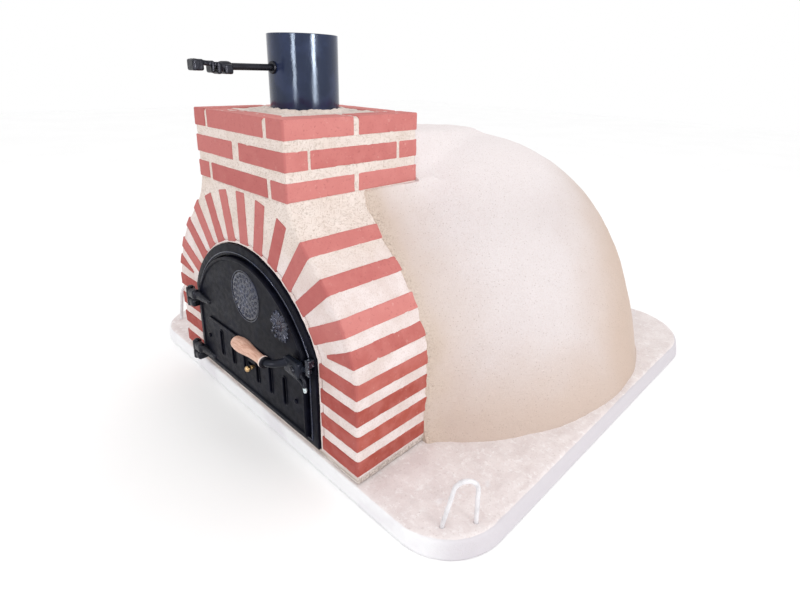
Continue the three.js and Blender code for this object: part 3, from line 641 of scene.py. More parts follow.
def make_concrete():
    s = Surface("slab_concrete", 0.9, Specular_IOR_Level=0.3)
    wander = s.math("MULTIPLY", s.noise(0.03, 4, 0.6), 0.001)
    top = s.band(s.math("ADD", s.axis("Z"), wander), SLAB_HIGH.z - 0.0030, SLAB_HIGH.z - 0.0018)
    stone = s.blend(s.band(s.noise(0.05, 5, 0.65), 0.36, 0.66), rgb("e6dedd"), rgb("dcd2d1"))
    stone = s.blend(s.band(s.noise(0.011, 4, 0.7), 0.52, 0.68, 0.0, 0.7), stone, rgb("f1eded"))
    stone = s.blend(s.band(s.noise(0.005, 3, 0.7), 0.56, 0.72, 0.0, 0.4), stone, rgb("b7a8a4"))
    paint = s.blend(s.band(s.noise(0.08, 3), 0.4, 0.65), rgb("eeeef0"), rgb("e5e3e7"))
    # Painted shade: the slab's sides, far out in X, darker and pinker than its front, for how the light falls
    # on them.
    flank = s.band(s.math("ABSOLUTE", s.axis("X")), 0.50, 0.585)
    paint = s.blend(flank, paint, rgb("cac5ca"))
    base = s.blend(top, paint, stone)
    rough = s.bump(s.noise(0.009, 5, 0.65), 0.0012)
    rough = s.bump(s.noise(0.003, 3, 0.7), 0.0005, rough)
    return s.done(base, rough, s.band(top, 0, 1, 0.55, 0.95))


def iron(name, color, worn, rough, shine=0.09):
    """Black iron before it is finished: its surface, colour, bump and roughness."""
    s = Surface(name, rough, Specular_IOR_Level=shine, Specular_Tint=(0.86, 0.86, 1.0, 1.0))
    patch = s.band(s.noise(0.03, 4, 0.6), 0.4, 0.7)
    base = s.blend(patch, rgb(color), rgb(worn))
    sheen = s.band(s.noise(0.012, 4), 0.3, 0.7, rough - 0.06, rough + 0.10)
    return s, base, s.bump(s.noise(0.0022, 3, 0.6), 0.00018), sheen


def make_iron(name, color, worn, rough, shine=0.09):
    s, base, normal, sheen = iron(name, color, worn, rough, shine)
    return s.done(base, normal, sheen)


def make_rubbed_glinting_iron():
    """Iron rubbed where the latch catches, the rubbed spots painted bright as highlight glints."""
    s, base, normal, sheen = iron("rubbed_glinting_iron", "0d1017", "171c27", 0.25, 0.5)
    # Painted highlight: bright bluish glints on the rubbed metal, in the base colour.
    rub_and_glint = s.band(s.noise(0.005, 3, 0.6), 0.62, 0.67, 0.0, 0.7)
    return s.done(s.blend(rub_and_glint, base, rgb("aebbc6")), normal, sheen)


def make_lever_iron():
    """Iron with the tip of its curved tail worn, and painted nearly white there as its highlight."""
    s, base, normal, sheen = iron("lever_iron", "10131a", "1a1f2a", 0.32, 0.2)
    # Painted highlight: the worn tip of the tail, low in Z, made nearly white in the base colour.
    low = s.band(s.axis("Z"), 0.1985, 0.2005, 1.0, 0.0)
    ragged_highlight_edge = s.band(s.noise(0.004, 3), 0.30, 0.42)
    return s.done(s.blend(s.math("MULTIPLY", low, ragged_highlight_edge), base, rgb("d4e2e4")), normal, sheen)


def make_enamel():
    s = Surface("black_enamel", 0.15, Specular_IOR_Level=0.5, Specular_Tint=(0.72, 0.84, 1.0, 1.0))
    # Painted reflection: the black enamel given a bluish grey base colour for the pale surroundings it
    # reflects.
    base = s.blend(s.band(s.noise(0.05, 3), 0.4, 0.7), rgb("18203a"), rgb("262f4e"))
    streak = s.noise(0.02, 5, 0.65, s.stretched((1, 1, 0.25)))
    rough = s.band(streak, 0.3, 0.7, 0.10, 0.24)
    return s.done(base, s.bump(streak, 0.0004), rough)


def make_white_steel():
    s = Surface("white_paint", 0.4)
    base = s.blend(s.band(s.noise(0.02, 4), 0.4, 0.7), rgb("dfdde0"), rgb("cccacd"))
    chips = s.band(s.noise(0.004, 4, 0.7), 0.70, 0.76)
    base = s.blend(chips, base, rgb("9b8f86"))
    return s.done(base, s.bump(s.noise(0.004, 3), 0.0003))


def make_brass():
    s = Surface("brass", 0.28, 1.0)
    base = s.blend(s.band(s.noise(0.006, 4), 0.35, 0.7), rgb("d9b98c"), rgb("a98555"))
    return s.done(base, s.bump(s.noise(0.0015, 3), 0.0001), s.band(s.noise(0.004, 3), 0.3, 0.7, 0.2, 0.4))


def make_wood():
    s = Surface("grip_wood", 0.45, Specular_IOR_Level=0.4)
    along = s.stretched((0.12, 1, 1))
    rings = s.noise(0.0045, 4, 0.6, along, 0.8)
    base = s.blend(s.band(rings, 0.38, 0.66), rgb("d8b09c"), rgb("bb8c78"))
    pores = s.noise(0.0012, 3, 0.6, s.stretched((0.06, 1, 1)))
    base = s.blend(s.band(pores, 0.58, 0.70, 0.0, 0.45), base, rgb("9a6a42"))
    end = s.band(s.axis("X"), GRIP_HIGH.x - 0.0045, GRIP_HIGH.x - 0.0030)
    base = s.blend(s.math("MULTIPLY", end, 0.8), base, rgb("e9ddd6"))
    return s.done(base, s.bump(rings, 0.0003, s.bump(pores, 0.0003)))


def make_firebrick(name="firebrick", soot=0.35):
    s = Surface(name, 0.92, Specular_IOR_Level=0.25)
    base = s.blend(s.band(s.noise(0.05, 4), 0.35, 0.7), rgb("d9c49c"), rgb("c0a57c"))
    base = s.blend(s.band(s.noise(0.004, 3, 0.7), 0.54, 0.7, 0.0, 0.6), base, rgb("8f7654"))
    smoke = s.band(s.noise(0.25, 4, 0.6), 0.35, 0.7, 0.0, soot)
    base = s.blend(smoke, base, rgb("3a342e"))
    rough = s.bump(s.noise(0.003, 3, 0.7), 0.0006)
    return s.done(base, s.bump(s.noise(0.02, 4), 0.0012, rough))


def make_fibre():
    s = Surface("ceramic_fibre", 1.0, Specular_IOR_Level=0.1)
    base = s.blend(s.noise(0.02, 5, 0.7), rgb("f0eee6"), rgb("dcd8cc"))
    return s.done(base, s.bump(s.noise(0.006, 5, 0.75, s.stretched((1, 1, 3))), 0.002))


def make_floor():
    s = Surface("floor", 0.75, Specular_IOR_Level=0.2)
    base = s.blend(s.band(s.noise(0.6, 3), 0.3, 0.7), rgb("ffffff"), rgb("fdfdfd"))
    return s.done(base)


RENDER = make_render()
MORTAR = make_mortar()
BRICK = make_brick()
CONCRETE = make_concrete()
IRON = make_iron("cast_iron", "090a13", "10121e", 0.36, 0.06)
DARK_IRON = make_iron("dark_iron", "0c0e13", "161921", 0.28, 0.3)
# Painted highlight: a lighter, bluish copy of the cast iron for the raised ornament and lines, its colour
# standing in with its shine for their glints.
RELIEF_IRON = make_iron("relief_iron", "121828", "1d2740", 0.2, 0.7)
RUBBED_GLINTING_IRON = make_rubbed_glinting_iron()
LEVER_IRON = make_lever_iron()
ENAMEL = make_enamel()
WHITE = make_white_steel()
BRASS = make_brass()
WOOD = make_wood()
FIREBRICK = make_firebrick()
REFRACTORY = make_firebrick("refractory", 0.8)
FIBRE = make_fibre()


# ---------- camera, light and floor ----------
def build_camera():
    """Looks from the right of the door, a little above the arch."""
    azimuth, elevation, roll = (math.radians(d) for d in (42.9, 17.9, 1.6))
    ahead = Vector((-math.sin(azimuth) * math.cos(elevation), math.cos(azimuth) * math.cos(elevation),
                    -math.sin(elevation)))
    level = ahead.cross(Vector((0, 0, 1))).normalized()
    right = Matrix.Rotation(-roll, 3, ahead) @ level
    up = right.cross(ahead)
    data = bpy.data.cameras.new("camera")
    data.lens, data.sensor_width = 23.17, 36
    data.shift_x, data.shift_y = -0.0325, -0.080
    camera = bpy.data.objects.new("camera", data)
    bpy.context.scene.collection.objects.link(camera)
    rotation = Matrix((right, up, -ahead)).transposed().to_4x4()
    camera.matrix_world = Matrix.Translation((0.962, -1.078, 0.777)) @ rotation
    bpy.context.scene.camera = camera


def build_light():
    world = bpy.data.worlds.new("studio")
    bpy.context.scene.world = world
    world.use_nodes = True
    world.node_tree.nodes["Background"].inputs["Color"].default_value = (1, 1, 1, 1)
    world.node_tree.nodes["Background"].inputs["Strength"].default_value = 1.0
    bpy.context.scene.view_settings.view_transform = "Standard"
    # place, width, height, power; a strip only shows as a gleam on what is polished
    lamps = {"side": ((3.0, -0.45, 0.85), 0.40, 0.6, 13), "front": ((1.3, -3.1, 0.85), 0.36, 0.6, 4),
             "top": ((1.0, -0.6, 3.2), 1.6, 1.6, 11), "glint": ((-1.0, -3.0, 2.0), 0.12, 0.12, 4),
             "strip_side": ((3.0, -0.45, 1.0), 0.55, 2.4, 90),
             "strip_front": ((1.3, -3.1, 1.0), 0.5, 2.4, 50)}
    for name, (place, width, height, power) in lamps.items():
        data = bpy.data.lights.new(name, "AREA")
        data.shape, data.size, data.size_y, data.energy = "RECTANGLE", width, height, power
        lamp = bpy.data.objects.new(name, data)
        lamp.location = place
        lamp.rotation_euler = (Vector((0, -0.2, 0.5)) - Vector(place)).to_track_quat("-Z", "Y").to_euler()
        lamp.visible_diffuse = not name.startswith("strip")
        bpy.context.scene.collection.objects.link(lamp)


def build_floor():
    half, cells = 9.0, 24
    line = np.linspace(-half, half, cells)
    points = np.array([(x, y, -0.0005) for y in line for x in line])
    floor = piece("floor", (points, grid_faces(cells, cells)))
    floor.data.materials.append(make_floor())


# ---------- outlines of the body ----------
def soft_union(a, b, width):
    """Distance to two solids run together by a fillet of that width."""
    h = np.clip(0.5 + 0.5 * (b - a) / width, 0, 1)
    return b * (1 - h) + a * h - width * h * (1 - h)


def soft_max(a, b, width):
    return -soft_union(-a, -b, width)


def body_distance(x, z):
    """Distance in X and Z from the outline of the arch with the chimney on it."""
    side = np.abs(x) - BODY_HALF
    round_top = np.hypot(x, z - ARC_Z) - ARC_RADIUS
    arch = np.where(z > ARC_Z, np.maximum(side, round_top), side)
    return soft_union(arch, np.abs(x) - CHIMNEY_HALF, SHOULDER)


def solve(distance, start, direction, reach):
    """How far along each ray the distance becomes positive."""
    low, high = np.zeros(len(direction)), np.full(len(direction), reach)
    for _ in range(34):
        middle = (low + high) / 2
        inside = distance(start + direction * middle[:, None]) < 0
        low, high = np.where(inside, middle, low), np.where(inside, high, middle)
    return start + direction * high[:, None]


def body_outline(grow, top_z, steps=240):
    """Outline of the arch and chimney foot, from the right foot round to the left."""
    angles = np.linspace(0, math.pi, steps)
    rays = np.stack([np.cos(angles), np.sin(angles)], -1)

    def distance(p):
        return np.maximum(body_distance(p[:, 0], p[:, 1]) - grow, p[:, 1] - top_z)

    points = solve(distance, np.array([0, ARC_Z]), rays, 1.2)
    half = points[0][0]
    return np.concatenate([[[half, BED_Z]], points, [[-half, BED_Z]]])


def plan_reach(x, y):
    """Radius of the dome's plan through a point: round in front, squarer and shallower behind."""
    power = REAR["power"]
    rear = (np.abs(x) ** power + (np.maximum(y, 0) / REAR["ratio"]) ** power) ** (1 / power)
    return np.where(y > 0, rear, np.hypot(x, y))


def on_dome_plan(shape):
    """Draws a shape turned about Z in to the dome's plan, on the dome's axis."""
    points, faces = shape
    points = points.copy()
    x, y = points[:, 0], points[:, 1]
    scale = np.hypot(x, y) / np.maximum(plan_reach(x, y), 1e-9)
    points[:, :2] *= scale[:, None]
    return moved((points, faces), y=DOME["y"])


def dome_distance(p, inset=0.0):
    """Distance from the dome, a superellipse turned about its own axis."""
    radius, height, power = DOME["radius"] - inset, DOME["height"] - inset, DOME["power"]
    a = np.maximum(plan_reach(p[:, 0], p[:, 1] - DOME["y"]) / radius, 1e-6)
    b = np.maximum((p[:, 2] - DOME["base"]) / height, 1e-6)
    level = (a ** power + b ** power) ** (1 / power)
    slope = np.hypot(a ** (power - 1) / radius, b ** (power - 1) / height) * level ** (1 - power)
    return (level - 1) / slope


def dome_profile(inset, foot_z, steps=64):
    """[radius, z] pairs of the dome from its foot to its top."""
    radius, height = DOME["radius"] - inset, DOME["height"] - inset
    foot = math.asin(((foot_z - DOME["base"]) / height) ** (DOME["power"] / 2))
    angles = foot + (math.pi / 2 - foot) * np.linspace(0, 1, steps)
    across = radius * np.maximum(np.cos(angles), 0) ** (2 / DOME["power"])
    up = DOME["base"] + height * np.sin(angles) ** (2 / DOME["power"])
    return list(zip(across, up))


def dome_solid(inset, foot_z):
    return on_dome_plan(lathe(dome_profile(inset, foot_z)[:-1], 160))


# ---------- rendered dome ----------
def ridge_distance(p):
    """Distance from the ridge of render that runs from the chimney down onto the dome."""
    t = np.clip((p[:, 1] - BACK_Y) / (RIDGE["back_y"] - BACK_Y), -0.2, 1.3)
    half = RIDGE["front_half"] + (RIDGE["back_half"] - RIDGE["front_half"]) * t
    top = RIDGE["front_z"] + (RIDGE["back_z"] - RIDGE["front_z"]) * t
    side = (np.abs(p[:, 0]) - half) * 0.92
    return soft_max(side, p[:, 2] - top, 0.03)


def render_distance(p):
    dome = dome_distance(p)
    edge = PLASTER_Y + 0.003 + 0.0018 * np.sin(95 * p[:, 2]) + 0.0012 * np.sin(210 * p[:, 2] + 60 * p[:, 0])
    skin = SKIN * np.clip((p[:, 1] - edge) / 0.004, -0.4, 1)
    arch = np.maximum(body_distance(p[:, 0], p[:, 2]) - skin, p[:, 2] - CHIMNEY_BASE)
    arch = np.maximum(arch, np.maximum(p[:, 1] - BACK_Y - 0.04, PLASTER_Y - 0.05 - p[:, 1]))
    whole = soft_union(dome, arch, 0.034)
    ridge = np.maximum(soft_max(ridge_distance(p), p[:, 1] - 0.11, 0.04), BACK_Y - 0.03 - p[:, 1])
    whole = soft_union(whole, ridge, 0.040)
    foot = 0.006 * np.exp(-np.maximum(p[:, 2] - BED_Z, 0) / 0.012)
    return np.maximum(whole - foot, BED_Z - 0.03 - p[:, 2])


def build_render():
    """Star-shaped skin round a point inside the dome, hollowed and trimmed by its neighbours."""
    start = np.array([0, -0.09, 0.12])
    rows, columns = 250, 800
    tilt = np.linspace(-1.1, math.pi / 2 - 0.002, rows)[:, None]
    turn = np.linspace(0, 2 * math.pi, columns, endpoint=False)[None, :]
    rays = np.stack([np.cos(tilt) * np.cos(turn), np.cos(tilt) * np.sin(turn),
                     np.sin(tilt) + 0 * turn], -1).reshape(-1, 3)
    points = solve(render_distance, start, rays, 1.6)
    shell = piece("render_coat", stacked(points.reshape(rows, columns, 3)))
    roughen(shell, (0.16, 0.0026, 1.0), (0.045, 0.0010, 5.0), (0.012, 0.0004, 9.0))
    foot_z = BED_Z - 0.004
    masonry = prism(body_outline(-0.0004, RIDGE["front_z"] + 0.1), -FAR, BACK_Y)
    chimney = plain_box((-FAR, -FAR, CHIMNEY_BASE), (FAR, BACK_Y + 0.0005, FAR))
    in_front = plain_box((-FAR, -FAR, -FAR), (FAR, PLASTER_Y, FAR))
    below = plain_box((-FAR, -FAR, -FAR), (FAR, FAR, foot_z))
    carve(shell, dome_solid(INSULATION_INSET, foot_z - 0.02), masonry, chimney, in_front, below)
    dress(shell, "oven", RENDER, "render", "render_shell")


# ---------- mortar ----------
def door_outline(inset, sill, sill_steps=60, side_steps=24, arc_steps=150):
    """Door shape drawn inwards by inset and lifted at the sill, from the left foot anticlockwise."""
    half, radius = DOOR["half"] - inset, DOOR["radius"] - inset
    base = DOOR["base"] + sill
    spring = math.acos(half / radius)
    spring_z = DOOR["arc"] + radius * math.sin(spring)
    bottom = [(x, base) for x in np.linspace(-half, half, sill_steps, endpoint=False)]
    right = [(half, z) for z in np.linspace(base, spring_z, side_steps, endpoint=False)]
    arc = arc_points((0, DOOR["arc"]), radius, math.degrees(spring), 180 - math.degrees(spring), arc_steps)
    left = [(-half, z) for z in np.linspace(spring_z, base, side_steps, endpoint=False)]
    return np.array(bottom + right + arc + left[1:])


def swept_round_door(profile):
    """A closed profile of (inset, sill, y) carried round the door outline."""
    rows = []
    for inset, sill, y in profile:
        outline = door_outline(inset, sill)
        rows.append(np.column_stack([outline[:, 0], np.full(len(outline), y), outline[:, 1]]))
    return np.concatenate(rows), grid_faces(len(rows), len(rows[0]), wrap_rows=True, wrap_columns=True)


def build_masonry():
    """The mortar between the arch bricks, with the tunnel and the smoke throat through it."""
    outline = body_outline(0, CHIMNEY_BASE + 0.002)
    body = piece("arch_mortar", prism(outline, FACE_Y + MORTAR_BACK, BACK_Y))
    opening = prism(door_outline(-OPENING_SLACK, -0.0004), -FAR, FRAME_BACK + 0.001)
    tunnel = prism(door_outline(TUNNEL["inset"], TUNNEL["sill"]), -FAR, 0.0)
    throat = plain_box((-THROAT["x"], CHIMNEY_Y - THROAT["y"], THROAT["base"]),
                       (THROAT["x"], CHIMNEY_Y + THROAT["y"], FAR))
    carve(body, opening, tunnel, throat, dome_solid(REFRACTORY_INSET, BED_Z - 0.02))
    melt(body, 0.0042, 2)
    roughen(body, (0.05, 0.0003, 2.0), (0.014, 0.0003, 4.0), (0.006, 0.0002, 7.0))
    dress(body, "oven", MORTAR, "mortar", "arch_masonry")


def build_pointing():
    """Thin bead of mortar between the door frame and the ends of the arch bricks."""
    y = FACE_Y - 0.0018
    section = [(-0.0008, 0.0012), (-0.0027, -0.0004), (-0.0048, 0.0008), (-0.0070, 0.0030), (-0.0070, 0.012),
               (-0.0008, 0.012)]
    profile = softened([(step, step, y + depth) for step, depth in section], 0.0012, 3)
    bead = piece("frame_pointing", swept_round_door(profile), 60)
    carve(bead, plain_box((-FAR, -FAR, -FAR), (FAR, FAR, BED_Z + 0.012)))
    roughen(bead, (0.02, 0.0007, 3.0), (0.006, 0.0003, 6.0))
    dress(bead, "oven", MORTAR, "mortar", "arch_masonry")


def build_core():
    """The mortar between the chimney bricks, with a lumpy bed on top and the flue's hole through it."""
    core = piece("chimney_mortar", plain_box((-CHIMNEY_HALF, FACE_Y + MORTAR_BACK, CHIMNEY_BASE - 0.002),
                                             (CHIMNEY_HALF, BACK_Y, CORE_HIGH.z)))
    carve(core, cylinder(0, CHIMNEY_Y, FLUE_RADIUS + 0.001, FLUE_LOW.z, FAR),
          cylinder(0, CHIMNEY_Y, THROAT["radius"], 0.4, FAR))
    melt(core, 0.0036, 2)
    points = read_points(core)
    bed = np.clip((points[:, 2] - CORE_HIGH.z + 0.006) / 0.004, 0, 1)
    lumps = 0.0022 * fractal(points, 0.02, 3, 3.0) + 0.0008 * fractal(points, 0.006, 2, 5.0)
    points[:, 2] += bed * lumps
    write_points(core, points)
    roughen(core, (0.05, 0.0003, 2.5), (0.012, 0.0003, 4.5))
    dress(core, "oven", MORTAR, "mortar", "chimney_core")


def build_crown():
    """Ragged mortar fillet round the foot of the flue."""
    low = CORE_HIGH.z - 0.002
    reach = FLUE_RADIUS + 0.0005
    profile = softened([(reach, low), (reach + 0.019, low), (reach + 0.012, low + 0.005),
                        (reach + 0.006, low + 0.0095), (reach, low + 0.0105)], 0.003)
    crown = piece("flue_mortar", moved(ring_lathe(profile, 180), y=CHIMNEY_Y))
    points = read_points(crown)
    angle = np.arctan2(points[:, 1] - CHIMNEY_Y, points[:, 0])
    across = np.hypot(points[:, 0], points[:, 1] - CHIMNEY_Y)
    circle = np.stack([np.cos(angle), np.sin(angle), 0 * angle], -1)
    out = np.clip((across - FLUE_RADIUS - 0.003) / 0.015, 0, 1)
    wobble = 0.008 * fractal(circle, 0.35, 3, 2.0) * out
    points += circle * wobble[:, None]
    height = np.clip((points[:, 2] - low) / 0.01, 0, 1)
    points[:, 2] += (0.0020 * fractal(circle, 0.2, 3, 8.0) - 0.001) * height
    write_points(crown, points)
    roughen(crown, (0.010, 0.0010, 1.0), (0.004, 0.0006, 2.0))
    dress(crown, "oven", MORTAR, "mortar", "flue_mortar_crown")


# ---------- bricks ----------
def brick_shape(corners, seed):
    """A worn clay brick fitted between eight corners, indexed by X, Y and Z side."""
    corners = np.array(corners, float)
    size = [np.linalg.norm(corners[1].mean((0, 1)) - corners[0].mean((0, 1))),
            np.linalg.norm(corners[:, 1].mean((0, 1)) - corners[:, 0].mean((0, 1))),
            np.linalg.norm(corners[:, :, 1].mean((0, 1)) - corners[:, :, 0].mean((0, 1)))]
    points, out, faces = rounded_block(size, 0.0022, 0.005)
    lift = 0.0002 * fractal(points, 0.009, 2, seed) + 0.0003 * fractal(points, 0.03, 2, seed + 3)
    edge = 1 - np.max(np.abs(out), axis=1)
    chips = np.clip(fractal(points, 0.013, 2, seed + 7) - 0.2, 0, 1) * np.clip(edge * 4, 0, 1)
    points = points + out * (lift - 0.0022 * chips)[:, None]
    u, v, w = ((points / np.array(size)) + 0.5).T
    shape = np.zeros_like(points)
    for i, a in enumerate((1 - u, u)):
        for j, b in enumerate((1 - v, v)):
            for k, c in enumerate((1 - w, w)):
                shape += (a * b * c)[:, None] * corners[i, j, k]
    return shape, faces


def box_corners(x0, x1, y0, y1, z0, z1):
    return [[[(x, y, z) for z in (z0, z1)] for y in (y0, y1)] for x in (x0, x1)]


def lay(name, shapes, tones, node):
    """One object of bricks, each with its own tone."""
    obj = piece(name, merged(*shapes), 50)
    values = np.concatenate([np.full(len(points), tone) for (points, _), tone in zip(shapes, tones)])
    layer = obj.data.attributes.new("tone", "FLOAT", "POINT")
    layer.data.foreach_set("value", values)
    dress(obj, "oven", BRICK, "brick", node)


def ray_circle(start, along, radius, center_z):
    """Distance along a ray in X and Z to a circle centred on the axis."""
    offset = start - np.array([0, center_z])
    half_b = offset.dot(along)
    return -half_b + math.sqrt(half_b * half_b - offset.dot(offset) + radius * radius)


def radial_brick(index, rng):
    """Corners of one arch brick: its sides are parallel, its ends follow the two arcs."""
    angle = math.radians(index * VOUSSOIR["pitch"])
    along = np.array([math.sin(angle), math.cos(angle)])
    across = np.array([math.cos(angle), -math.sin(angle)])
    crown = abs(index) <= VOUSSOIR["crown"]
    back = FACE_Y + (CROWN_DEEP if crown else BRICK_DEEP)
    corners = np.zeros((2, 2, 2, 3))
    for i, sign in enumerate((-1, 1)):
        start = np.array([0, VOUSSOIR["z"]]) + across * sign * VOUSSOIR["thick"] / 2
        inner = ray_circle(start, along, VOUSSOIR["inner"], DOOR["arc"]) + rng.uniform(-0.001, 0.0015)
        outer = ray_circle(start, along, ARC_RADIUS, ARC_Z)
        if not crown:
            outer = solve(lambda p: body_distance(p[:, 0], p[:, 1]) - PROUD, start, along[None], 0.6)[0]
            outer = np.linalg.norm(outer - start)
        for k, reach in enumerate((inner, outer)):
            x, z = start + along * reach
            for j, y in enumerate((FACE_Y - PROUD, back)):
                corners[i, j, k] = (x, y, z)
    return corners


def closer_corners(sign):
    """The tapered piece between the arch bricks and the straight courses."""
    (tip_deg, tip), (high_deg, reach), (low_deg, _) = (CLOSER[key] for key in ("tip", "high", "low"))

    def at(degrees, radius):
        t = math.radians(degrees)
        return sign * radius * math.sin(t), VOUSSOIR["z"] + radius * math.cos(t)

    corners = np.zeros((2, 2, 2, 3))
    ends = {0: (at(tip_deg + 0.6, tip), at(tip_deg - 0.6, tip)),
            1: (at(low_deg, reach + 0.0025), at(high_deg, reach))}
    for end, pair in ends.items():
        i = end if sign > 0 else 1 - end
        for k, (x, z) in enumerate(pair):
            for j, y in enumerate((FACE_Y - PROUD, FACE_Y + BRICK_DEEP)):
                corners[i, j, k] = (x, y, z)
    return corners


def build_arch_bricks():
    rng = np.random.default_rng(4)
    number = 0
    for index in range(-VOUSSOIR["count"], VOUSSOIR["count"] + 1):
        number += 1
        shape = brick_shape(radial_brick(index, rng), number * 3.1)
        lay(f"arch_clay_{number}", [shape], [rng.uniform(0.1, 0.9)], f"arch_brick_{number}")
    for side, sign in (("left", -1), ("right", 1)):
        lay(f"closer_{side}", [brick_shape(closer_corners(sign), 40 + sign)], [rng.uniform(0.2, 0.7)],
            f"arch_wedge_{side}")
        for course in range(STRAIGHT["count"]):
            z = STRAIGHT["first"] + course * STRAIGHT["pitch"] + rng.uniform(-0.001, 0.001)
            near = BODY_HALF - STRAIGHT["wide"] + rng.uniform(-0.002, 0.002)
            x = sorted((sign * near, sign * (BODY_HALF + PROUD)))
            corners = box_corners(*x, FACE_Y - PROUD, FACE_Y + BRICK_DEEP, z, z + STRAIGHT["thick"])
            lay(f"jamb_clay_{side}_{course + 1}", [brick_shape(corners, 60 + 5 * course + sign)],
                [rng.uniform(0.0, 0.6)], f"jamb_brick_{side}_{course + 1}")


def course_plan(front, side, corner):
    """Rectangles (x0, x1, y0, y1) of the bricks in one course, y counted from the front."""
    half, deep = CHIMNEY_HALF + PROUD, BACK_Y - FACE_Y + PROUD
    start = -PROUD
    if corner == "side":
        left_end, mid_start, mid_end, right_start = front
        first_end, second_start = side
        plan = [(mid_start, mid_end, start, SLIP), (mid_start, mid_end, deep - SLIP, deep)]
        for x0, x1 in ((-half, left_end), (right_start, half)):
            plan += [(x0, x1, start, first_end), (x0, x1, second_start, deep)]
        return plan
    left_end, right_start = front
    front_deep, side_start, side_end, rear_start = side
    plan = [(-half, left_end, start, front_deep), (right_start, half, start, front_deep),
            (-half, left_end, rear_start, deep), (right_start, half, rear_start, deep)]
    return plan + [(-half, -half + SLIP, side_start, side_end), (half - SLIP, half, side_start, side_end)]


def build_courses():
    rng = np.random.default_rng(11)
    for name, joints in COURSES.items():
        low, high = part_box(f"chimney_course_{name}")
        shapes, tones = [], []
        for x0, x1, y0, y1 in course_plan(**joints):
            z0, z1 = low.z + rng.uniform(-0.0008, 0.0008), high.z - rng.uniform(0, 0.0008)
            corners = box_corners(x0, x1, FACE_Y + y0, FACE_Y + y1, z0, z1)
            shapes.append(brick_shape(corners, rng.uniform(80, 200)))
            tones.append(rng.uniform(0.35, 1.0))
        lay(f"chimney_clay_{name}", shapes, tones, f"chimney_course_{name}")


# ---------- slab and loops ----------
def slab_ring(inset, z, run_steps=96):
    """Rounded rectangle in plan, drawn inwards by inset and narrower towards the top."""
    front, rear = (max(SLAB[key] - inset, 0.012) for key in ("front_corner", "rear_corner"))
    lean = 1 + (SLAB["top_scale"] - 1) * (z - SLAB_LOW.z) / (SLAB_HIGH.z - SLAB_LOW.z)
    half, front_y, rear_y = SLAB_HIGH.x - inset, SLAB_LOW.y + inset, SLAB_HIGH.y - inset
    corners = [(half - front, front_y + front, front), (half - rear, rear_y - rear, rear),
               (rear - half, rear_y - rear, rear), (front - half, front_y + front, front)]
    points = []
    for quarter, (x, y, radius) in enumerate(corners):
        start, end = quarter * 90 - 90, quarter * 90
        points += arc_points((x, y), radius, start, end, 24)
        next_x, next_y, next_radius = corners[(quarter + 1) % 4]
        goal = arc_points((next_x, next_y), next_radius, end, end, 1)[0]
        points += [tuple(p) for p in np.linspace(points[-1], goal, run_steps)[1:-1]]
    return np.array([(x * lean, y, z) for x, y in points])


def build_slab():
    top, bottom = SLAB_HIGH.z, SLAB_LOW.z
    edge = [(0.30, bottom), (0.02, bottom), (0.004, bottom), (0.001, bottom + 0.001), (0.0, bottom + 0.004),
            (0.0, 0.5 * (top + bottom)), (0.0, top - 0.009), (0.0012, top - 0.005), (0.0042, top - 0.0015),
            (0.009, top)]
    rings = [slab_ring(inset, z) for inset, z in softened(edge, 0.004, 2, closed=False)]
    rings += [slab_ring(inset, top) for inset in np.linspace(0.013, 0.55, 130)]
    slab = piece("slab", stacked(rings), 60)
    points = read_points(slab)
    lift = np.clip((points[:, 2] - top + 0.004) / 0.004, 0, 1)
    rough = (0.0012 * fractal(points, 0.09, 3, 1.0) + 0.0012 * fractal(points, 0.024, 3, 2.0)
             + 0.0007 * fractal(points, 0.011, 2, 3.0))
    points[:, 2] += lift * (rough - 0.0010)
    write_points(slab, points)
    socket = LOOP["rod"] + 0.0004
    carve(slab, *[cylinder(sign * x, y, socket, top - 0.022, 1, 32)
                  for feet in LOOP_FEET.values() for x, y in feet for sign in (-1, 1)])
    dress(slab, "oven", CONCRETE, "concrete", "base_slab")


def loop_path(upright, leaning, low_z, high_z):
    """Up one leg, round the bend and down the leg that leans."""
    a, b = np.array([*upright, 0.0]), np.array([*leaning, 0.0])
    up = np.array([0, 0, 1.0])
    across = (b - a) / np.linalg.norm(b - a)
    bend, bend_z = LOOP["bend"], high_z - LOOP["rod"] - LOOP["bend"]
    center = a + across * bend + up * bend_z
    arc = [center + bend * (up * math.sin(t) - across * math.cos(t)) for t in np.linspace(0, 2.9, 20)]
    foot = b + up * SLAB_HIGH.z
    path = [a + up * z for z in np.linspace(low_z, bend_z, 8)[:-1]] + arc
    path += list(np.linspace(arc[-1], foot, 8)[1:])
    return softened(path + list(np.linspace(foot, b + up * low_z, 3)[1:]), 0.01, 3, closed=False)


def build_loops():
    """White steel loops cast into the slab, for lifting it."""
    for end, feet in LOOP_FEET.items():
        for side, sign in (("left", -1), ("right", 1)):
            name = f"lifting_loop_{end}_{side}"
            low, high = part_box(name)
            upright, leaning = ((sign * x, y) for x, y in feet)
            path = loop_path(upright, leaning, low.z + 0.004, high.z)
            rod = piece(f"loop_{end}_{side}", tube(path, LOOP["rod"], 24))
            roughen(rod, (0.02, 0.0003, sign + feet[0][1]), (0.006, 0.0001, 3.0))
            dress(rod, "oven", WHITE, "white_steel", name)


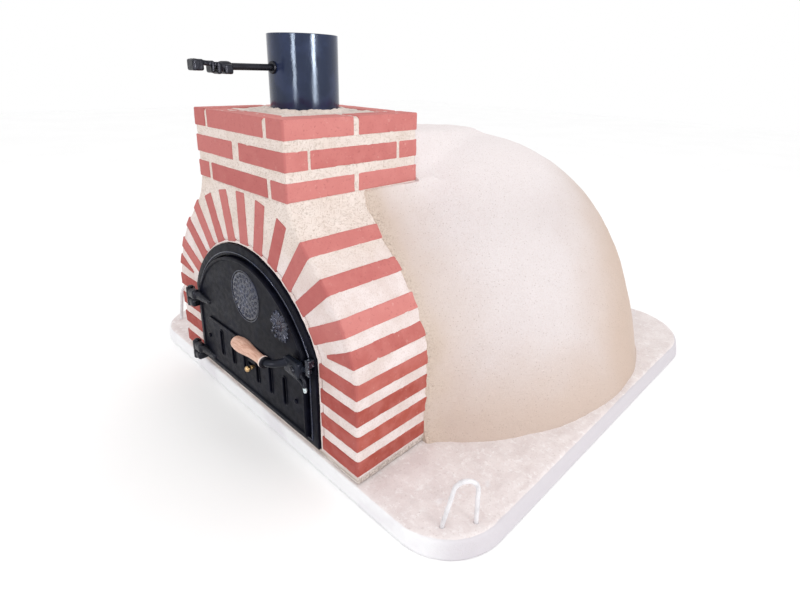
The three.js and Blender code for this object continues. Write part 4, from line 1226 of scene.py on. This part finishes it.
# ---------- hearth and inner dome ----------
def build_inside():
    """The refractory dome round the chamber, and materials for the CAD nodes that stay inside it."""
    foot, gap = BED_Z, 0.0003
    outer, inner = dome_profile(REFRACTORY_INSET + gap, foot, 40), dome_profile(CHAMBER_INSET, foot, 40)
    profile = [(max(r, 0.0004), z) for r, z in inner[::-1] + outer]
    shell = piece("inner_dome", on_dome_plan(ring_lathe(profile, 120)))
    mouth = [(-MOUTH["half"], foot + 0.025), (MOUTH["half"], foot + 0.025)]
    spring = math.degrees(math.acos(MOUTH["half"] / MOUTH["radius"]))
    mouth += arc_points((0, MOUTH["arc"]), MOUTH["radius"], spring, 180 - spring, 60)
    carve(shell, prism(mouth, -FAR, MOUTH["back"]))
    dress(shell, "oven", REFRACTORY, "firebrick", "refractory_dome")
    for name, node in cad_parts.items():
        if name.startswith(("hearth_tile", "entry_tile")):
            assign(node, FIREBRICK)
        if name in ("insulation_layer", "hearth_board"):
            assign(node, FIBRE)


# ---------- flue and damper ----------
def build_flue():
    inner, outer = FLUE_RADIUS - 0.0025, FLUE_RADIUS
    low, high = FLUE_LOW.z, FLUE_HIGH.z
    profile = softened([(inner, low), (outer, low), (outer, high - 0.004), (outer, high), (inner, high)],
                       0.0011)
    flue = piece("flue", moved(ring_lathe(profile, 160), y=CHIMNEY_Y), 40)
    carve(flue, cylinder_y(0, DAMPER_Z, 0.0088, -FAR, 0))
    dress(flue, "oven", ENAMEL, "enamel", "flue_pipe")


def build_bushes():
    """Flanged bushes in the flue's wall, for the damper's rod."""
    start, flange = FLUE_RADIUS - 0.0035, FLUE_RADIUS - 0.0002
    end_face = FLUE_RADIUS + 0.0043
    profile = softened([(0.0068, start), (0.0085, start), (0.0085, flange), (0.0125, flange),
                        (0.0120, end_face), (0.0068, end_face)], 0.0008)
    for end, sign in (("front", -1), ("rear", 1)):
        shape = turned(ring_lathe(profile, 48), -90 * sign, "X")
        bush = piece(f"bush_{end}", moved(shape, y=CHIMNEY_Y, z=DAMPER_Z))
        roughen(bush, (0.005, 0.0003, 1.0))
        dress(bush, "oven", DARK_IRON, "cast_iron", f"damper_bush_{end}")


def rod_between(y_front, y_back, radius, steps, sides):
    """A round rod on the damper's axis."""
    return tube([(0, y, DAMPER_Z) for y in np.linspace(y_front, y_back, steps)], radius, sides)


def build_damper():
    radius = (ROD_HIGH.z - ROD_LOW.z) / 2
    rod = piece("damper_spindle", rod_between(ROD_LOW.y + radius, ROD_HIGH.y - radius, radius, 30, 32))
    dress(rod, "damper", DARK_IRON, "cast_iron", "damper_rod")

    low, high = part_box("damper_plate")
    reach = (high.z - low.z) / 2
    disc = lathe([(0.0001, -0.0015), (reach - 0.001, -0.0015), (reach, -0.0006), (reach, 0.0006),
                  (reach - 0.001, 0.0015), (0.0001, 0.0015)], 96)
    disc = moved(turned(disc, 90, "Y"), y=CHIMNEY_Y, z=DAMPER_Z)
    sleeve = rod_between(low.y + 0.012, high.y - 0.012, 0.010, 20, 32)
    plate = piece("damper_blade", merged(disc, sleeve))
    melt(plate, 0.0012, 4)
    roughen(plate, (0.012, 0.0003, 1.0))
    dress(plate, "damper", IRON, "cast_iron", "damper_plate")


def build_damper_handle():
    """Flat cast handle: a sloping spine with cross bars and a block at its end."""
    low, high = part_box("damper_handle")
    z, half = DAMPER_Z, high.x
    shapes = [block((-half + 0.0005 * i, low.y + start, z + bottom),
                    (half - 0.0005 * i, low.y + end, z + top), 0.0032, 0.003)
              for i, (start, end, bottom, top) in enumerate(HANDLE_RIBS)]
    spine = block((-0.0095, low.y + 0.003, -0.0045), (0.0095, high.y - 0.001, 0.0045), 0.003, 0.004)
    points = spine[0].copy()
    points[:, 2] += z + 0.0060 - 0.13 * (points[:, 1] - low.y - 0.02)
    shapes.append((points, spine[1]))
    shapes.append(rod_between(high.y - 0.018, high.y - 0.006, 0.0095, 6, 24))
    handle = piece("damper_lever", merged(*shapes))
    melt(handle, 0.0008, 5)
    roughen(handle, (0.008, 0.0003, 1.0))
    dress(handle, "damper", DARK_IRON, "cast_iron", "damper_handle")


# ---------- door frame ----------
def hoop(outline, y, radius, sides=10):
    """A round bead laid along a closed outline in X and Z."""
    outline = np.array(outline)
    along = np.roll(outline, -1, 0) - np.roll(outline, 1, 0)
    along /= np.linalg.norm(along, axis=1)[:, None]
    outward = np.stack([along[:, 1], -along[:, 0]], -1)
    rows = []
    for t in np.linspace(0, 2 * math.pi, sides, endpoint=False):
        spot = outline + outward * radius * math.cos(t)
        rows.append(np.column_stack([spot[:, 0], np.full(len(spot), y - radius * math.sin(t)), spot[:, 1]]))
    return np.concatenate(rows), grid_faces(sides, len(outline), wrap_rows=True, wrap_columns=True)


def knuckle(low, high):
    """Barrel of a hinge, a little waisted."""
    radius, mid = HINGE["radius"], (low + high) / 2
    profile = softened([(0.0002, low), (radius, low), (radius * 1.02, mid), (radius, high), (0.0002, high)],
                       0.0016, 3, closed=False)
    return moved(lathe(profile, 40), x=HINGE["x"], y=HINGE["y"])


def build_frame():
    """Stepped frame with a raised line on its face, its two hinge lugs, and the hinge pins in them."""
    rim, rebate = ((step["inset"], step["sill"]) for step in (RIM, REBATE))
    front, seat, back = RIM["front"], REBATE["front"], FRAME_BACK
    profile = softened([(0, 0, front), (*rim, front), (*rim, seat), (*rebate, seat), (*rebate, back),
                        (0, 0, back)], 0.0016, 3)
    ring = piece("frame_ring", swept_round_door(profile), 40)
    roughen(ring, (0.03, 0.0002, 1.0))
    line = door_outline(FRAME_LIP["inset"], FRAME_LIP["sill"])
    lip = piece("frame_lip", hoop(line, FRAME_LIP["y"], FRAME_LIP["radius"]))
    dress(lip, "oven", RELIEF_IRON, "cast_iron", "door_frame")
    lugs = []
    for low, split, _ in LUGS.values():
        top = split - 0.0006
        lugs.append(knuckle(low, top))
        lugs.append(block((HINGE["x"] - 0.008, HINGE["y"] - 0.009, low), (LUG_END["frame"], -0.5995, top),
                          0.007, 0.003))
    lug_obj = piece("frame_lugs", merged(*lugs))
    melt(lug_obj, 0.0009, 5)
    roughen(lug_obj, (0.010, 0.0004, 1.0))
    dress(ring, "oven", IRON, "cast_iron", "door_frame")
    dress(lug_obj, "oven", DARK_IRON, "cast_iron", "door_frame")

    for name, (low, _, high) in LUGS.items():
        profile = softened([(0.0001, low + 0.001), (0.004, low + 0.001), (0.004, high + 0.0005),
                            (0.0068, high + 0.0005), (0.0066, high + 0.003), (0.0001, high + 0.004)],
                           0.0012, 3, closed=False)
        pin = piece(f"pin_{name}", moved(lathe(profile, 40), x=HINGE["x"], y=HINGE["y"]))
        dress(pin, "oven", DARK_IRON, "cast_iron", f"hinge_pin_{name}")


def build_keeper():
    low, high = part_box("latch_keeper")
    foot = block((low.x, low.y, high.z - 0.016), (high.x, high.y, high.z), 0.002, 0.002)
    lip = block((low.x, low.y, low.z), (high.x, low.y + 0.004, high.z), 0.0018, 0.002)
    keeper = piece("catch", merged(foot, lip))
    melt(keeper, 0.0006, 4)
    dress(keeper, "oven", RUBBED_GLINTING_IRON, "cast_iron", "latch_keeper")


# ---------- door leaf ----------
def petal(place, length, width, height, degrees):
    """A pointed leaf with a groove down its middle, lying on the door and pointing away at an angle."""
    turn = np.linspace(0, 2 * math.pi, 20, endpoint=False)
    rings = []
    for t in np.linspace(0.02, 0.98, 14):
        half = width * math.sin(math.pi * t ** 0.8) ** 0.8
        rise = np.maximum(np.sin(turn), -0.2) * height * math.sin(math.pi * t) ** 0.5
        rise = rise * (1 - 0.55 * np.exp(-(np.cos(turn) / 0.22) ** 2))
        rings.append(np.stack([np.full(20, t * length), -rise, half * np.cos(turn)], -1))
    x, z = place
    return moved(turned(stacked(rings), -degrees, "Y"), x=x, y=LEAF["front"] + 0.0003, z=z)


def bead_at(x, z, radius, height):
    dome = lathe([(radius * math.cos(t), height * math.sin(t)) for t in np.linspace(-0.2, 1.5, 8)], 16)
    return moved(turned(dome, 90, "X"), x=x, y=LEAF["front"], z=z)


def around(center, reach, degrees):
    t = math.radians(degrees)
    return center["x"] + reach * math.cos(t), center["z"] + reach * math.sin(t)


def rosette():
    """A round flower: a boss, rings of petals that curl to and fro with beads between them, and a rim."""
    size, center = ROSETTE["radius"], (ROSETTE["x"], ROSETTE["z"])
    shapes = [bead_at(*center, 0.0065, 0.0038), bead_at(*center, size, 0.0016),
              hoop(arc_points(center, 1.06 * size, 0, 354, 60), LEAF["front"], 0.0012)]
    for ring, (count, reach, length, width) in enumerate(ROSETTE_RINGS):
        for i in range(count):
            degrees = 360 * (i + 0.5 * (ring % 2)) / count
            curl = degrees + (70 if ring % 2 else -62)
            place = around(ROSETTE, reach * size, degrees)
            shapes.append(petal(place, length * size, width * size, 0.0036, curl))
            place = around(ROSETTE, (reach + 0.09) * size, degrees + 180 / count)
            shapes.append(bead_at(*place, 0.0024, 0.0030))
    return shapes


def spray():
    """Leaves that fan out from a bead, with berries on one side."""
    size, center = SPRAY["radius"], (SPRAY["x"], SPRAY["z"])
    shapes = [bead_at(*center, 0.7 * size, 0.0010), bead_at(*center, 0.0050, 0.0040)]
    for i, degrees in enumerate((-95, -52, -12, 28, 66, 104, 150)):
        long = size * (0.62 + 0.10 * (i % 2))
        shapes.append(petal(around(SPRAY, 0.22 * size, degrees), long, 0.17 * size, 0.0036, degrees))
        place = around(SPRAY, 0.5 * size, degrees + 20)
        shapes.append(petal(place, 0.4 * size, 0.11 * size, 0.003, degrees + 34))
    berries = ((180, 0.45), (205, 0.62), (228, 0.5), (200, 0.28), (170, 0.75), (238, 0.8), (215, 0.85))
    for degrees, reach in berries:
        shapes.append(bead_at(*around(SPRAY, reach * size, degrees), 0.0042, 0.0034))
    return shapes


def build_relief():
    relief = piece("leaf_relief", merged(*rosette(), *spray()), 60)
    dress(relief, "door", RELIEF_IRON, "cast_iron", "door_leaf")


def stadium(cx, low, high, half):
    return arc_points((cx, high - half), half, 0, 180, 12) + arc_points((cx, low + half), half, 180, 360, 12)


def vent_slots(grow=0.0):
    """Outlines of the vent slots in the leaf, made larger all round by grow."""
    return [stadium(SLOT["first"] + i * SLOT["pitch"], SLOT["low"] - grow, SLOT["high"] + grow,
                    SLOT["width"] / 2 + grow) for i in range(SLOT["count"])]


def build_leaf():
    """The leaf inside its raised edge, with the vent slots and the knob's slot cut through it."""
    center = np.array([0, 0.19])

    def ring(inset, sill, y, scale=1.0):
        outline = center + (door_outline(inset, sill) - center) * scale
        return np.column_stack([outline[:, 0], np.full(len(outline), y), outline[:, 1]])

    def stepped(step):
        return LEAF["inset"] + step, LEAF["sill"] + step

    bead, front, back = LEAF["bead"], LEAF["front"], LEAF["back"]
    raised = front - LEAF["proud"]
    rings = []
    for scale in np.concatenate([np.linspace(0.02, 0.97, 60), [0.985, 0.997]]):
        rings.append(ring(*stepped(bead), front, scale))
    edge = softened([(*stepped(bead), front), (*stepped(bead - 0.0022), raised), (*stepped(0.002), raised),
                     (*stepped(0), front - 0.0005), (*stepped(0), back), (*stepped(0.01), back)],
                    0.0016, 3, closed=False)
    rings += [ring(*spot) for spot in edge]
    rings += [ring(*stepped(0.01), back, scale) for scale in (0.9, 0.7, 0.4, 0.1)]
    leaf = piece("leaf", stacked(rings), 40)
    roughen(leaf, (0.05, 0.0003, 1.0))
    (x0, x1), (z0, z1) = STEM_SLOT
    carve(leaf, *[prism(slot, -FAR, 0) for slot in vent_slots()], plain_box((x0, -FAR, z0), (x1, 0, z1)))
    dress(leaf, "door", IRON, "cast_iron", "door_leaf")


def build_trims():
    """The ledge across the leaf, and the raised rims of the vent slots."""
    front = LEAF["front"]
    trims = [block((LEDGE["left"], front - LEDGE["proud"], LEDGE["low"]),
                   (LEDGE["right"], front + 0.001, LEDGE["high"]), 0.0012, 0.01)]
    trims += [hoop(rim, front, 0.0016) for rim in vent_slots(0.002)]
    dress(piece("leaf_trims", merged(*trims)), "door", IRON, "cast_iron", "door_leaf")


def build_rails():
    """Two rails behind the leaf, each with a lip that holds the vent plate."""
    rails = []
    for z0, z1, lip0, lip1 in RAILS:
        rails.append(block((-RAIL_HALF, -0.5925, z0), (RAIL_HALF, RAIL_BACK, z1), 0.001, 0.01))
        rails.append(block((-RAIL_HALF, -0.588, lip0), (RAIL_HALF, RAIL_BACK, lip1), 0.001, 0.01))
    dress(piece("vent_rails", merged(*rails)), "door", IRON, "cast_iron", "door_leaf")


def strap(low, high):
    """A strap from a hinge knuckle along the leaf, lower and nearer to the leaf at its end."""
    shape = block((STRAP["start"], -0.0080, low + 0.001), (STRAP["end"], 0.0080, high - 0.001), 0.006, 0.003)
    points = shape[0].copy()
    along = (points[:, 0] - STRAP["start"]) / (STRAP["end"] - STRAP["start"])
    center = (low + high) / 2 - 0.004
    points[:, 1] += STRAP["y"] + 0.012 * along
    points[:, 2] = center + (points[:, 2] - center) * (1 - 0.55 * along) - 0.004 * along
    return points, shape[1]


def build_leaf_lugs():
    lugs = []
    for _, split, high in LUGS.values():
        lugs.append(knuckle(split, high))
        lugs.append(block((HINGE["x"] - 0.004, HINGE["y"] - 0.0095, split), (LUG_END["leaf"], -0.6100, high),
                          0.008, 0.003))
        lugs.append(strap(split, high))
    lug_obj = piece("leaf_lugs", merged(*lugs))
    melt(lug_obj, 0.0010, 6)
    roughen(lug_obj, (0.010, 0.0004, 1.0))
    dress(lug_obj, "door", DARK_IRON, "cast_iron", "door_leaf")


# ---------- latch, grip and vent ----------
def build_lever():
    """Cranked lever with its pivot boss, a curved tail and the tongue that the keeper holds."""
    hub_low, hub_high = (0.178, -0.6275, 0.218), (0.227, -0.6130, 0.250)
    shapes = [block(hub_low, hub_high, 0.004, 0.003)]
    boss = softened([(0.0002, 0), (0.0125, 0), (0.0115, 0.0165), (0.0002, 0.0165)], 0.002, 3, closed=False)
    shapes.append(lathe_along("-Y", boss, (PIVOT["x"], LEVER_BACK, PIVOT["z"]), 40))
    _, grip_y, grip_z = middle("door_grip")
    neck = bezier((0.188, -0.621, grip_z), (0.178, -0.630, grip_z), (0.180, -0.652, grip_z),
                  (GRIP_HIGH.x - 0.004, grip_y, grip_z), steps=18)
    shapes.append(tube(neck, np.linspace(0.0088, 0.0066, 18), 24))
    tail = bezier((0.182, -0.6175, 0.222), (0.165, -0.6170, 0.205), (0.205, -0.6170, 0.214),
                  (0.232, -0.6170, 0.214), (0.2335, -0.6170, 0.192), steps=26)
    shapes.append(tube(tail, np.linspace(0.0040, 0.0034, 26), 20))
    upper = bezier((0.222, -0.6185, 0.224), (0.236, -0.6180, 0.220), (0.236, -0.6175, 0.205), steps=12)
    shapes.append(tube(upper, 0.0035, 20))
    shapes.append(block((0.222, -0.6170, 0.232), (0.2455, -0.6065, 0.242), 0.0025, 0.002))
    tang = [(x, grip_y, grip_z) for x in np.linspace(GRIP_HIGH.x - 0.07, GRIP_HIGH.x, 12)]
    shapes.append(tube(tang, 0.005, 20))
    lever = piece("lever", merged(*shapes))
    melt(lever, 0.0008, 6)
    carve(lever, plain_box((0.0, LEVER_BACK, 0.0), (0.224, 0, FAR)))
    dress(lever, "latch", LEVER_IRON, "cast_iron", "latch_lever")

    profile = softened([(0.0002, 0), (0.004, 0), (0.004, 0.0362), (0.0078, 0.0362), (0.0076, 0.0388),
                        (0.005, 0.0408), (0.0002, 0.0410)], 0.001, 3, closed=False)
    screw = lathe_along("-Y", profile, (PIVOT["x"], LEAF["back"], PIVOT["z"]), 40)
    dress(piece("pivot_screw", screw), "door", DARK_IRON, "cast_iron", "latch_pivot_screw")


def build_grip():
    """Turned wooden grip: a bulb at the free end, a waist, and a flare against its collar."""
    low, high = GRIP_LOW, GRIP_HIGH
    _, y, z = middle("door_grip")
    length = high.x - low.x
    knots = [(0.0001, 0), (0.0080, 0.0006), (0.0112, 0.0022), (0.0128, 0.005), (0.0138, 0.0115),
             (0.01475, 0.020), (0.0149, 0.029), (0.0142, 0.040), (0.0125, 0.053), (0.0106, 0.068),
             (0.0096, 0.083), (0.0093, 0.095), (0.0099, 0.102), (0.0112, 0.1075), (0.0118, 0.110),
             (0.0112, length - 0.0008), (0.0058, length)]
    profile = softened(knots, 0.0025, 3, closed=False)
    grip = piece("wooden_grip", lathe_along("X", profile + [(0.0001, length)], (low.x, y, z), 64))
    points = read_points(grip)
    bend = np.sin(np.clip((points[:, 0] - low.x) / length, 0, 1) * math.pi)
    points[:, 2] += 0.0012 * bend
    write_points(grip, points)
    dress(grip, "latch", WOOD, "wood", "door_grip")

    low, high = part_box("grip_collar")
    width = high.x - low.x
    profile = softened([(0.0055, 0), (0.0115, 0), (0.0120, width / 2), (0.0115, width), (0.0055, width)],
                       0.0005)
    collar = moved(turned(ring_lathe(profile, 48), 90, "Y"), x=low.x, y=y, z=z)
    dress(piece("collar", collar), "latch", DARK_IRON, "cast_iron", "grip_collar")


def build_vent():
    """The brass knob on the vent plate, and the two screws that hold the rails."""
    low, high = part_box("vent_knob")
    x, _, z = middle("vent_knob")
    length = high.y - low.y
    profile = softened([(0.0002, 0), (0.003, 0), (0.003, 0.0033), (0.004, 0.0035), (0.004, length - 0.0165),
                        (0.0050, length - 0.0150), (0.0036, length - 0.0130), (0.0066, length - 0.0100),
                        (0.0070, length - 0.0060), (0.0052, length - 0.0018), (0.0002, length)],
                       0.0015, 4, closed=False)
    knob = piece("brass_knob", lathe_along("-Y", profile, (x, high.y, z), 48))
    dress(knob, "vent", BRASS, "brass", "vent_knob")
    for side in ("left", "right"):
        low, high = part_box(f"vent_screw_{side}")
        x, _, z = middle(f"vent_screw_{side}")
        length = high.y - low.y
        profile = softened([(0.0002, 0), (0.0025, 0), (0.0025, 0.0175), (0.0055, 0.0175), (0.0050, 0.0196),
                            (0.0030, length - 0.0002), (0.0002, length)], 0.0008, 3, closed=False)
        screw = piece(f"rail_screw_{side}", lathe_along("-Y", profile, (x, high.y, z), 36))
        dress(screw, "door", IRON, "cast_iron", f"vent_screw_{side}")
    assign(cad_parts["vent_slider"], IRON)


for build in (build_camera, build_light, build_floor, build_slab, build_loops, build_render, build_masonry,
              build_pointing, build_core, build_arch_bricks, build_courses, build_inside, build_flue,
              build_crown, build_bushes, build_damper, build_damper_handle, build_frame, build_keeper,
              build_leaf, build_trims, build_rails, build_leaf_lugs, build_relief, build_lever, build_grip,
              build_vent):
    build()
